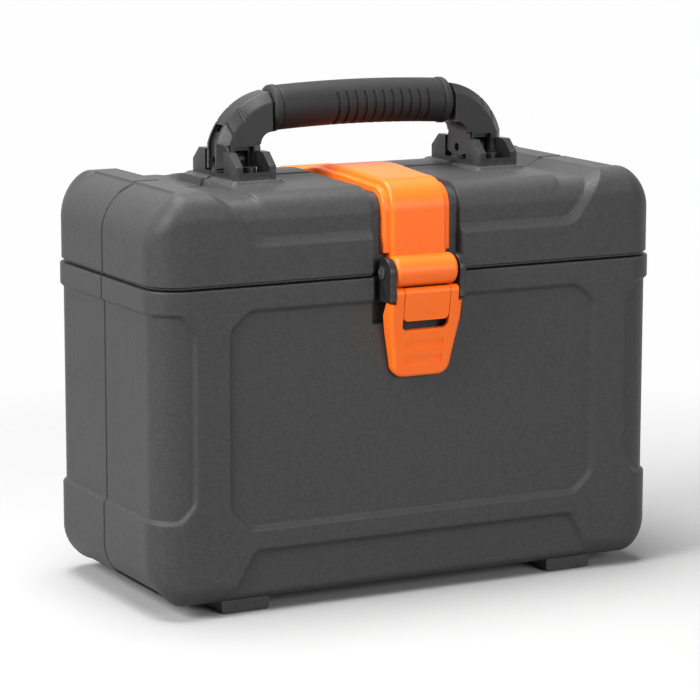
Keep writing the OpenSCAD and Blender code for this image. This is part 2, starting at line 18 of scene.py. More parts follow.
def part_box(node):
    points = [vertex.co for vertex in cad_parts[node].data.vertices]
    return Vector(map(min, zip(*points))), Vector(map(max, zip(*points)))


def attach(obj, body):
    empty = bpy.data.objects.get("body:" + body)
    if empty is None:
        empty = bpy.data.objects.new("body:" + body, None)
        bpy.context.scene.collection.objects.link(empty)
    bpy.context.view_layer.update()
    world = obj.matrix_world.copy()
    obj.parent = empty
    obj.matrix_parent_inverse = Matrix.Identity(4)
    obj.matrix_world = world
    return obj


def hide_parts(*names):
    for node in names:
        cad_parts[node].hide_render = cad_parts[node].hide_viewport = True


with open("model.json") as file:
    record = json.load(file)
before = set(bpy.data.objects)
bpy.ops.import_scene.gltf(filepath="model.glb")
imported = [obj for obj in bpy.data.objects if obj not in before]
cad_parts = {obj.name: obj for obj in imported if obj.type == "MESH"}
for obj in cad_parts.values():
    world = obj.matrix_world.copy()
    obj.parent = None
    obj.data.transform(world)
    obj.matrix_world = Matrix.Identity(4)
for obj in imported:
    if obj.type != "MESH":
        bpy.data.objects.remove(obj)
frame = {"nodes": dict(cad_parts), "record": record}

logging.basicConfig(level=logging.INFO, format="%(levelname)s %(message)s")
log = logging.getLogger("tool_case")

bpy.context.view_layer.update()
MM = 0.001
HANDS = {-1: "left", 1: "right"}
Point = tuple[float, float, float]
Colour = tuple[float, float, float, float]
Outline = Sequence[tuple[float, float]]
Coat = tuple[str, bpy.types.Material]
Solid = bpy.types.Object
EdgeTest = Callable[[Vector, Vector], bool]


class Side(Enum):
    """Which half of the case a shell covers."""

    FRONT = -1
    REAR = 1


class Axis(Enum):
    """A direction in the frame, as the index of its coordinate."""

    X = 0
    Y = 1
    Z = 2


# Places and outlines, in millimetres

def node_box(node: str) -> tuple[np.ndarray, np.ndarray]:
    """Lowest and highest corner of a frame node."""
    low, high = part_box(node)
    return np.array(low) / MM, np.array(high) / MM


def span(side: float, near: float, far: float, middle: float = 0.0) -> tuple[float, float]:
    """Two places on one side of a middle, the lower one first."""
    low, high = sorted((middle + side * near, middle + side * far))
    return low, high


def arc(middle: tuple[float, float], radius: float, start: float, end: float,
        steps: int) -> list[tuple[float, float]]:
    """Points on an arc, with its ends in degrees."""
    turns = [math.radians(start + (end - start) * k / steps) for k in range(steps + 1)]
    return [(middle[0] + radius * math.cos(t), middle[1] + radius * math.sin(t)) for t in turns]


def mirrored(right: list[tuple[float, float]]) -> list[tuple[float, float]]:
    """The right half of an outline and then its mirror image."""
    return right + [(-x, z) for x, z in reversed(right)]


def upright(a: Vector, b: Vector) -> bool:
    """Whether an edge stands up in front of the middle plane."""
    return abs(a.z - b.z) > 1 and a.y < 0 and b.y < 0


# Shader maths

class Signal:
    """One output socket of a node tree, with the sums that the finishes need."""

    def __init__(self, graph: "Graph", socket: bpy.types.NodeSocket) -> None:
        """Keep the socket and the graph that new nodes go into."""
        self.graph = graph
        self.socket = socket

    def _math(self, operation: str, other: object) -> "Signal":
        """A Math node on this signal and another signal or a number."""
        return self.graph.add("ShaderNodeMath", {0: self, 1: other}, operation=operation)

    def __add__(self, other: object) -> "Signal":
        """Sum."""
        return self._math("ADD", other)

    def __mul__(self, other: object) -> "Signal":
        """Product."""
        return self._math("MULTIPLY", other)

    def or_larger(self, other: object) -> "Signal":
        """The larger of the two."""
        return self._math("MAXIMUM", other)

    def clipped(self) -> "Signal":
        """The value held between 0 and 1."""
        return self.graph.add("ShaderNodeClamp", {"Value": self})


class Graph:
    """The node tree of one material or world."""

    def __init__(self, owner: bpy.types.ID) -> None:
        """Empty the owner's node tree.

        Args:
            owner: A material or world.
        """
        owner.use_nodes = True
        self.owner = owner
        self.tree = owner.node_tree
        self.tree.nodes.clear()

    @cached_property
    def place(self) -> Signal:
        """The object's own coordinates, from one node."""
        return self.add("ShaderNodeTexCoord", {}, "Object")

    def node(self, kind: str, inputs: dict, **settings: object) -> bpy.types.Node:
        """Add any node.

        Args:
            kind: The node's type.
            inputs: Values or signals by socket name or number.
            settings: Its properties, set first.

        Returns:
            The node.
        """
        node = self.tree.nodes.new(kind)
        for key, value in settings.items():
            setattr(node, key, value)
        for key, value in inputs.items():
            if isinstance(value, Signal):
                self.tree.links.new(value.socket, node.inputs[key])
            else:
                node.inputs[key].default_value = value
        return node

    def add(self, kind: str, inputs: dict, output: object = 0, **settings: object) -> Signal:
        """One output of a new node, by name or number."""
        return Signal(self, self.node(kind, inputs, **settings).outputs[output])

    def noise(self, scale: float, detail: float, roughness: float) -> Signal:
        """Noise over the object, with scale in waves per metre."""
        inputs = {"Vector": self.place, "Scale": scale, "Detail": detail, "Roughness": roughness}
        return self.add("ShaderNodeTexNoise", inputs)

    def ramp(self, value: Signal, *stops: tuple[float, float]) -> Signal:
        """A value run through a ramp of grey.

        Args:
            value: The value.
            stops: Two pairs of value and grey level.

        Returns:
            The level.
        """
        node = self.node("ShaderNodeValToRGB", {"Fac": value})
        for element, (place, level) in zip(node.color_ramp.elements, stops):
            element.position = place
            element.color = (level, level, level, 1)
        return Signal(self, node.outputs[0])

    def edges(self, *stops: tuple[float, float]) -> Signal:
        """The surface's pointiness run through a ramp, which finds its outer edges."""
        return self.ramp(self.add("ShaderNodeNewGeometry", {}, "Pointiness"), *stops)

    def in_view(self) -> Signal:
        """1 for rays from the camera, from a gloss or through glass, otherwise 0."""
        path = self.node("ShaderNodeLightPath", {}).outputs
        camera, gloss, glass = (
            Signal(self, path[name]) for name in ("Is Camera Ray", "Is Glossy Ray", "Is Transmission Ray")
        )
        return camera.or_larger(gloss).or_larger(glass)

    def mix(self, share: object, first: object, second: object) -> Signal:
        """Two colours mixed by a share."""
        return self.add("ShaderNodeMix", {0: share, 6: first, 7: second}, 2, data_type="RGBA")

    def bump(self, height: Signal, strength: float, depth: float) -> Signal:
        """A bump whose depth is in metres."""
        return self.add("ShaderNodeBump", {"Height": height, "Strength": strength, "Distance": depth})

    def surface(self, shader: Signal, kind: str = "Material") -> bpy.types.ID:
        """Send a shader to the surface of a material or world, which is returned."""
        self.node(f"ShaderNodeOutput{kind}", {"Surface": shader})
        return self.owner

    def close(self, **inputs: object) -> bpy.types.Material:
        """The material, closed by a Principled shader with these sockets, underscores for spaces."""
        named = {key.replace("_", " "): value for key, value in inputs.items()}
        return self.surface(self.add("ShaderNodeBsdfPrincipled", named))


def linear(level: float) -> float:
    """One screen level from 0 to 255 as a linear value."""
    c = level / 255
    return c / 12.92 if c <= 0.04045 else ((c + 0.055) / 1.055) ** 2.4


def colour(red: float, green: float, blue: float) -> Colour:
    """A colour from screen levels."""
    return (linear(red), linear(green), linear(blue), 1.0)


@dataclass(frozen=True)
class MouldedPlastic:
    """Textured injection-moulded plastic: fine spark-eroded grain, faint mottling, and lighter outer edges
    that are part rub wear, part painted edge highlight.
    """

    name: str
    base: Colour
    light: Colour
    # Colour of the lighter outer edges: rub wear and painted edge highlight together.
    worn_and_highlit_edge: Colour
    roughness: float
    grain_per_m: float
    grain_depth: float
    wear_and_highlight_share: float
    specular: float
    mottle_per_m: float = 320.0
    wear_and_highlight_per_m: float = 420.0
    smear_per_m: float = 22.0

    def material(self) -> bpy.types.Material:
        """The finish as a material."""
        g = Graph(bpy.data.materials.new(self.name))
        grain = g.noise(self.grain_per_m, 3.0, 0.62)
        pits = g.noise(self.grain_per_m * 0.37, 2.0, 0.5)
        mottle = g.noise(self.mottle_per_m, 4.0, 0.6)
        smear = g.noise(self.smear_per_m, 3.0, 0.55)
        shade = g.ramp(mottle * 0.35 + grain * 0.65, (0.36, 0.0), (0.66, 1.0))
        skin = g.mix(shade, self.base, self.light)
        # Convex outer edges, found by pointiness and broken up by noise, are lightened: part rub wear, part
        # painted highlight for the lit edge lines.
        edge = g.edges((0.55, 0.0), (0.64, 1.0))
        broken = g.ramp(g.noise(self.wear_and_highlight_per_m, 3.0, 0.6), (0.38, 0.2), (0.6, 1.0))
        skin = g.mix((edge * broken * self.wear_and_highlight_share).clipped(), skin, self.worn_and_highlit_edge)
        gloss = (smear * 0.08 + grain * 0.08 + (self.roughness - 0.08)).clipped()
        normal = g.bump(grain * 0.65 + pits * 0.35, 0.55, self.grain_depth)
        return g.close(Base_Color=skin, Roughness=gloss, Normal=normal, Specular_IOR_Level=self.specular)


@dataclass(frozen=True)
class GripRubber:
    """Soft black rubber with a dull skin, lighter in patches on its convex outer edges: part wear, part
    painted edge highlight.
    """

    name: str
    base: Colour
    # Colour of the lighter outer edges: wear and painted edge highlight together.
    wear_and_highlight_tone: Colour
    roughness: float
    specular: float = 0.22
    fine_per_m: float = 1500.0
    fine_depth: float = 0.00012
    patch_per_m: float = 120.0

    def material(self) -> bpy.types.Material:
        """The finish as a material."""
        g = Graph(bpy.data.materials.new(self.name))
        fine = g.noise(self.fine_per_m, 2.0, 0.5)
        patch = g.noise(self.patch_per_m, 4.0, 0.6)
        # Convex outer edges lightened in patches: part wear, part painted edge highlight.
        wear_and_highlight_mask = g.edges((0.50, 0.0), (0.62, 0.8))
        skin = g.mix((wear_and_highlight_mask * patch).clipped(), self.base, self.wear_and_highlight_tone)
        gloss = (patch * 0.18 + (self.roughness - 0.09)).clipped()
        normal = g.bump(fine, 0.35, self.fine_depth)
        return g.close(Base_Color=skin, Roughness=gloss, Normal=normal, Specular_IOR_Level=self.specular)


@dataclass(frozen=True)
class PlatedSteel:
    """Zinc-plated steel with fine turning marks and dull patches."""

    name: str
    base: Colour
    dull: Colour
    roughness: float = 0.30
    patch_per_m: float = 300.0
    marks_per_m: float = 2600.0
    marks_depth: float = 0.00005

    def material(self) -> bpy.types.Material:
        """The finish as a material."""
        g = Graph(bpy.data.materials.new(self.name))
        patch = g.noise(self.patch_per_m, 4.0, 0.6)
        marks = g.noise(self.marks_per_m, 2.0, 0.4)
        skin = g.mix(g.ramp(patch, (0.4, 0.0), (0.65, 1.0)), self.base, self.dull)
        gloss = (patch * 0.12 + self.roughness).clipped()
        normal = g.bump(marks, 0.2, self.marks_depth)
        return g.close(Base_Color=skin, Metallic=1.0, Roughness=gloss, Normal=normal)


# Each plastic's edge colour and share paint lighter outer edges: part wear, part painted edge highlight.
FINISHES = {
    "shell_plastic": MouldedPlastic(
        name="shell_charcoal",
        base=colour(48, 48, 48), light=colour(63, 63, 63), worn_and_highlit_edge=colour(128, 128, 128), roughness=0.50,
        grain_per_m=1050.0, grain_depth=0.00055, wear_and_highlight_share=0.2, specular=0.25,
    ),
    "orange_plastic": MouldedPlastic(
        name="latch_orange",
        base=colour(255, 110, 24), light=colour(255, 115, 30), worn_and_highlit_edge=colour(255, 146, 80), roughness=0.36,
        grain_per_m=1300.0, grain_depth=0.00004, wear_and_highlight_share=0.3, specular=0.35,
    ),
    "black_plastic": MouldedPlastic(
        name="fitting_black",
        base=colour(26, 26, 27), light=colour(34, 34, 35), worn_and_highlit_edge=colour(130, 130, 132), roughness=0.34,
        grain_per_m=1300.0, grain_depth=0.00016, wear_and_highlight_share=0.5, specular=0.3,
    ),
    "grip_rubber": GripRubber("grip_rubber_black", colour(34, 34, 35), colour(62, 62, 63), 0.60),
    "seal_rubber": GripRubber("seal_rubber_dark", colour(24, 24, 25), colour(60, 60, 61), 0.65),
    "steel": PlatedSteel("plated_steel", colour(158, 160, 164), colour(143, 145, 149)),
}


# Modelling by hand

class Bench:
    """Modelling moves on whole objects, all in millimetres until a piece is finished."""

    @staticmethod
    def alone(obj: Solid) -> None:
        """Select one object and make it active.

        Args:
            obj: The object.
        """
        bpy.ops.object.select_all(action="DESELECT")
        obj.select_set(True)
        bpy.context.view_layer.objects.active = obj

    @staticmethod
    @contextmanager
    def editing(action: Optional[str] = "SELECT") -> Iterator[None]:
        """Put the active object in edit mode for a while.

        Args:
            action: What to do to the selection of its whole mesh, if anything.

        Yields:
            Once, in edit mode.
        """
        bpy.ops.object.mode_set(mode="EDIT")
        if action is not None:
            bpy.ops.mesh.select_all(action=action)
        yield
        bpy.ops.object.mode_set(mode="OBJECT")

    @staticmethod
    def outward() -> None:
        """Turn all faces of the mesh in edit mode outwards."""
        bpy.ops.mesh.select_all(action="SELECT")
        bpy.ops.mesh.normals_make_consistent(inside=False)

    @staticmethod
    def points(obj: Solid) -> np.ndarray:
        """Get the vertices of an object.

        Args:
            obj: The object.

        Returns:
            Rows of x, y and z.
        """
        co = np.zeros(len(obj.data.vertices) * 3)
        obj.data.vertices.foreach_get("co", co)
        return co.reshape(-1, 3)

    @staticmethod
    def move_points(obj: Solid, points: np.ndarray) -> None:
        """Put an object's vertices at rows of x, y and z."""
        obj.data.vertices.foreach_set("co", points.ravel())
        obj.data.update()

    @staticmethod
    def primitive(add: Callable, **settings: object) -> Solid:
        """Add a primitive with nothing else selected.

        Args:
            add: The operator that adds it.
            settings: The operator's properties.

        Returns:
            The new object.
        """
        bpy.ops.object.select_all(action="DESELECT")
        add(**settings)
        return bpy.context.object

    @staticmethod
    def block(low: Sequence[float], high: Sequence[float]) -> Solid:
        """A cube primitive stretched between two corners.

        Args:
            low: The lowest corner.
            high: The highest corner.

        Returns:
            The new object.
        """
        obj = Bench.primitive(bpy.ops.mesh.primitive_cube_add, size=1)
        low_v, high_v = np.array(low, float), np.array(high, float)
        size, middle = high_v - low_v, (high_v + low_v) / 2
        obj.data.transform(Matrix.Translation(middle) @ Matrix.Diagonal((*size, 1)))
        return obj

    @staticmethod
    def rod(start: Sequence[float], end: Sequence[float], radius: float, sides: int) -> Solid:
        """A cylinder from one point to another, which is a cone primitive with equal ends.

        Args:
            start: Centre of the first end.
            end: Centre of the second end.
            radius: Its radius.
            sides: Number of sides.

        Returns:
            The new object.
        """
        a, b = Vector(start), Vector(end)
        obj = Bench.primitive(
            bpy.ops.mesh.primitive_cone_add, vertices=sides, radius1=radius, radius2=radius,
            depth=(b - a).length,
        )
        turn = Vector((0, 0, 1)).rotation_difference(b - a).to_matrix().to_4x4()
        obj.data.transform(Matrix.Translation((a + b) / 2) @ turn)
        return obj

    @staticmethod
    def prism(outline: Outline, axis: Axis, low: float, high: float) -> Solid:
        """An outline filled as one face and extruded along an axis.

        Args:
            outline: Points in the two other coordinates, in their order.
            axis: The direction of the extrusion.
            low: Where it starts.
            high: Where it ends.

        Returns:
            The new object.
        """
        obj = Bench.primitive(bpy.ops.mesh.primitive_circle_add, vertices=len(outline), fill_type="NGON")
        others = [i for i in range(3) if i != axis.value]
        for vertex, (u, v) in zip(obj.data.vertices, outline):
            vertex.co[others[0]], vertex.co[others[1]], vertex.co[axis.value] = u, v, low
        move = Vector((0, 0, 0))
        move[axis.value] = high - low
        with Bench.editing():
            bpy.ops.mesh.extrude_region_move(TRANSFORM_OT_translate={"value": move})
            Bench.outward()
        return obj

    @staticmethod
    def plate(u: np.ndarray, v: np.ndarray, place: Callable) -> Solid:
        """A grid primitive whose lines are moved to their places.

        Args:
            u: Places along the first direction.
            v: Places along the second direction.
            place: Takes the two places of every vertex and gives its three coordinates.

        Returns:
            The plate.
        """
        obj = Bench.primitive(
            bpy.ops.mesh.primitive_grid_add, x_subdivisions=len(u) - 1, y_subdivisions=len(v) - 1, size=2
        )
        co = Bench.points(obj)
        i = np.rint((co[:, 0] + 1) / 2 * (len(u) - 1)).astype(int)
        j = np.rint((co[:, 1] + 1) / 2 * (len(v) - 1)).astype(int)
        Bench.move_points(obj, np.stack(np.broadcast_arrays(*place(u[i], v[j])), axis=1))
        return obj

    @staticmethod
    def tube(stations: int, around: int, place: Callable) -> Solid:
        """A closed tube: rings of points joined along their stations, with flat ends.

        Args:
            stations: Number of rings.
            around: Number of points in a ring.
            place: Takes whole numbers of station and point and gives three coordinates.

        Returns:
            The solid.
        """
        obj = Bench.plate(np.arange(stations), np.arange(around + 1), lambda i, j: place(i, j % around))
        with Bench.editing():
            bpy.ops.mesh.remove_doubles(threshold=0.0005)
            bpy.ops.mesh.fill_holes(sides=0)
            Bench.outward()
        return obj

    @staticmethod
    def apply(obj: Solid, kind: str, **settings: object) -> Solid:
        """Add one modifier and apply it.

        Args:
            obj: The object.
            kind: The modifier's type.
            settings: The modifier's properties.

        Returns:
            The same object.
        """
        Bench.alone(obj)
        modifier = obj.modifiers.new(kind.lower(), kind)
        for key, value in settings.items():
            setattr(modifier, key, value)
        bpy.ops.object.modifier_apply(modifier=modifier.name)
        return obj

    @staticmethod
    def combine(obj: Solid, operation: str, *tools: Solid) -> Solid:
        """Join, cut or intersect an object with tools.

        Args:
            obj: The object.
            operation: The Boolean modifier's operation.
            tools: What it is combined with, which is used up.

        Returns:
            The same object.
        """
        for tool in tools:
            Bench.apply(obj, "BOOLEAN", operation=operation, solver="MANIFOLD", object=tool)
            bpy.data.objects.remove(tool)
        return obj

    @staticmethod
    def cut(obj: Solid, *tools: Solid) -> Solid:
        """Cut tools out of an object."""
        return Bench.combine(obj, "DIFFERENCE", *tools)

    @staticmethod
    def add(obj: Solid, *tools: Solid) -> Solid:
        """Join tools to an object."""
        return Bench.combine(obj, "UNION", *tools)

    @staticmethod
    def round_edges(obj: Solid, width: float, steps: int = 2,
                    angle: float = 30.0) -> Solid:
        """Clean flat faces, then round every edge sharper than an angle.

        Args:
            obj: The object.
            width: Width of the rounding.
            steps: Its segments.
            angle: Least angle of an edge that is rounded, in degrees.

        Returns:
            The same object.
        """
        Bench.alone(obj)
        with Bench.editing():
            bpy.ops.mesh.remove_doubles(threshold=0.002)
            bpy.ops.mesh.dissolve_limited(angle_limit=math.radians(0.6))
        return Bench.apply(
            obj, "BEVEL", width=width, segments=steps, limit_method="ANGLE",
            angle_limit=math.radians(angle), use_clamp_overlap=True, miter_outer="MITER_ARC",
        )

    @staticmethod
    def bevel_where(obj: Solid, width: float, steps: int, wanted: EdgeTest) -> Solid:
        """Bevel the edges whose two ends pass a test, in edit mode.

        Args:
            obj: The object.
            width: Width of the bevel.
            steps: Its segments.
            wanted: Takes the two ends of an edge and says whether it is beveled.

        Returns:
            The same object.
        """
        Bench.alone(obj)
        with Bench.editing("DESELECT"):
            pass
        points = obj.data.vertices
        for edge in obj.data.edges:
            edge.select = bool(wanted(points[edge.vertices[0]].co, points[edge.vertices[1]].co))
        with Bench.editing(None):
            bpy.ops.mesh.select_mode(type="EDGE")
            bpy.ops.mesh.bevel(
                offset=width, offset_type="OFFSET", segments=steps, affect="EDGES", clamp_overlap=True
            )
        return obj

    @staticmethod
    def mirror(obj: Solid, axis: Axis) -> Solid:
        """Mirror an object about the middle plane across an axis.

        Args:
            obj: The object.
            axis: The axis.

        Returns:
            The same object.
        """
        scale = [1.0, 1.0, 1.0, 1.0]
        scale[axis.value] = -1.0
        obj.data.transform(Matrix.Diagonal(scale))
        obj.data.flip_normals()
        return obj

    @staticmethod
    def copy(obj: Solid) -> Solid:
        """Copy an object and its mesh.

        Args:
            obj: The object.

        Returns:
            The copy.
        """
        twin = obj.copy()
        twin.data = obj.data.copy()
        bpy.context.scene.collection.objects.link(twin)
        return twin

    @staticmethod
    def finish(obj: Solid, name: str, body: str, coat: Coat, replaces: Sequence[str],
               angle: float = 32.0, even: bool = True) -> Solid:
        """Bring a piece to metres, shade it, dress it and hang it on its body.

        Args:
            obj: The modelled object, in millimetres.
            name: The piece's name.
            body: The body that it moves with.
            coat: The record's material slot and its finish.
            replaces: The frame nodes that it stands for.
            angle: Edges sharper than this stay sharp, in degrees.
            even: Whether large flat faces rule the shading of the small faces round them.

        Returns:
            The finished piece.
        """
        slot, material = coat
        obj.name = name
        obj.data.name = name
        obj.data.transform(Matrix.Scale(MM, 4))
        Bench.alone(obj)
        bpy.ops.object.shade_smooth_by_angle(angle=math.radians(angle))
        if even:
            Bench.apply(obj, "WEIGHTED_NORMAL", keep_sharp=True)
        obj.data.materials.clear()
        obj.data.materials.append(material)
        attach(obj, body)
        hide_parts(*replaces)
        log.info("piece %s: %d faces on %s", name, len(obj.data.polygons), body)
        return obj


# Signed distances in millimetres, negative inside

def soft_max(a: np.ndarray, b: np.ndarray, blend: float) -> np.ndarray:
    """The larger of two fields, rounded where they meet."""
    h = np.maximum(blend - np.abs(a - b), 0) / blend
    return np.maximum(a, b) + h * h * blend / 4


def rounded_meet(a: np.ndarray, b: np.ndarray, radius: np.ndarray | float) -> np.ndarray:
    """Two half spaces that meet in an edge of this radius."""
    u, v = a + radius, b + radius
    return np.minimum(np.maximum(u, v), 0) + np.hypot(np.maximum(u, 0), np.maximum(v, 0)) - radius


def ramp(inward: np.ndarray, run: float, soft: float = 0.22) -> np.ndarray:
    """A slope from 0 to 1 that starts at an outline and has rounded ends.

    Args:
        inward: Distance past the outline.
        run: Length of the slope.
        soft: Half length of each rounded end, as a share of the run.

    Returns:
        The height of the slope.
    """
    t = inward / run

    def lifted(s: np.ndarray) -> np.ndarray:
        """Zero, then a soft start, then a straight rise."""
        return np.where(s < -soft, 0, np.where(s > soft, s, (s + soft) ** 2 / (4 * soft)))

    return lifted(t) - lifted(t - 1)


def convex(u: np.ndarray, v: np.ndarray, outline: Outline, blend: float) -> np.ndarray:
    """Distance to a convex outline.

    Args:
        u: First coordinates of the places.
        v: Their second coordinates.
        outline: Its corners, anticlockwise.
        blend: How far its corners are rounded.

    Returns:
        The distance of each place.
    """
    found = None
    for (u0, v0), (u1, v1) in zip(outline, list(outline[1:]) + [outline[0]]):
        length = math.hypot(u1 - u0, v1 - v0)
        across = ((u - u0) * (v1 - v0) - (v - v0) * (u1 - u0)) / length
        found = across if found is None else soft_max(found, across, blend)
    return found


def mixed(a: np.ndarray, b: np.ndarray, share: np.ndarray) -> np.ndarray:
    """One field turning into another by a share."""
    return a + (b - a) * share


def lines(low: float, high: float, coarse: float, *bands: tuple[float, float, float]) -> np.ndarray:
    """Grid places from low to high: coarse ones, with finer bands of (from, to, step).

    Args:
        low: First place.
        high: Last place.
        coarse: Step outside the bands.
        bands: Finer stretches, mirrored ones given by themselves.

    Returns:
        The places in order.
    """
    ends = sorted({low, high, *(min(max(e, low), high) for b in bands for e in b[:2])})
    found = [low]
    for a, b in zip(ends, ends[1:]):
        middle = (a + b) / 2
        step = min([coarse] + [s for f, t, s in bands if f <= middle <= t])
        count = max(1, math.ceil((b - a) / step - 1e-6))
        found += [a + (b - a) * k / count for k in range(1, count + 1)]
    return np.array(found)


def both_ways(*bands: tuple[float, float, float]) -> list[tuple[float, float, float]]:
    """Bands and their mirror images about zero."""
    return list(bands) + [(-t, -f, s) for f, t, s in bands]


# Moulded half shells

@dataclass
class Skin:
    """The outside of one half shell: plates of grid lines moved onto a rounded, recessed form."""

    half_w: float
    half_d: float
    low: float
    high: float
    opens_up: bool
    x_lines: np.ndarray
    y_lines: np.ndarray
    z_lines: np.ndarray
    core: Point
    reach: float = 4.0
    halvings: int = 36

    def build(self, form: Callable[[np.ndarray, np.ndarray, np.ndarray], np.ndarray]) -> Solid:
        """Make the closed outer form of the front half.

        Args:
            form: The signed distance of the outside at points x, y, z.

        Returns:
            The solid, in millimetres, with flat faces at the rim and at the middle plane.
        """
        cap = self.low if self.opens_up else self.high
        plates = [
            Bench.plate(self.x_lines, self.z_lines, lambda u, v: (u, -self.half_d, v)),
            Bench.plate(self.y_lines, self.z_lines, lambda u, v: (-self.half_w, u, v)),
            Bench.plate(self.y_lines, self.z_lines, lambda u, v: (self.half_w, u, v)),
            Bench.plate(self.x_lines, self.y_lines, lambda u, v: (u, v, cap)),
        ]
        bpy.ops.object.select_all(action="DESELECT")
        for plate in plates:
            plate.select_set(True)
        obj = plates[0]
        bpy.context.view_layer.objects.active = obj
        bpy.ops.object.join()
        with Bench.editing():
            bpy.ops.mesh.remove_doubles(threshold=0.001)
        self._settle(obj, form)
        self._close(obj)
        return obj

    def _settle(self, obj: Solid, form: Callable) -> None:
        """Move every vertex along its ray from the core onto the form.

        Args:
            obj: The joined plates.
            form: The signed distance of the outside.
        """
        co = Bench.points(obj)
        core_x, core_y, core_z = self.core
        core = co.copy()
        core[:, 0] = np.clip(co[:, 0], -core_x, core_x)
        core[:, 1] = np.maximum(co[:, 1], -core_y)
        core[:, 2] = np.maximum(co[:, 2], core_z) if self.opens_up else np.minimum(co[:, 2], core_z)
        ray = co - core
        length = np.linalg.norm(ray, axis=1)
        ray /= length[:, None]
        near, far = np.zeros(len(co)), length + self.reach
        for _ in range(self.halvings):
            middle = (near + far) / 2
            at = core + ray * middle[:, None]
            inside = form(at[:, 0], at[:, 1], at[:, 2]) < 0
            near = np.where(inside, middle, near)
            far = np.where(inside, far, middle)
        Bench.move_points(obj, core + ray * near[:, None])

    def _close(self, obj: Solid) -> None:
        """Fill the rim and the middle plane with one flat face each.

        Args:
            obj: The skin.
        """
        rim = self.high if self.opens_up else self.low
        planes = (lambda c: abs(c.y) < 1e-6, lambda c: abs(c.z - rim) < 1e-4)
        mesh = bmesh.new()
        mesh.from_mesh(obj.data)
        mesh.edges.new([v for v in mesh.verts if all(on_plane(v.co) for on_plane in planes)])
        for on_plane in planes:
            ring = [e for e in mesh.edges if len(e.link_faces) < 2 and all(on_plane(v.co) for v in e.verts)]
            bmesh.ops.contextual_create(mesh, geom=ring)
        bmesh.ops.recalc_face_normals(mesh, faces=mesh.faces)
        mesh.to_mesh(obj.data)
        mesh.free()


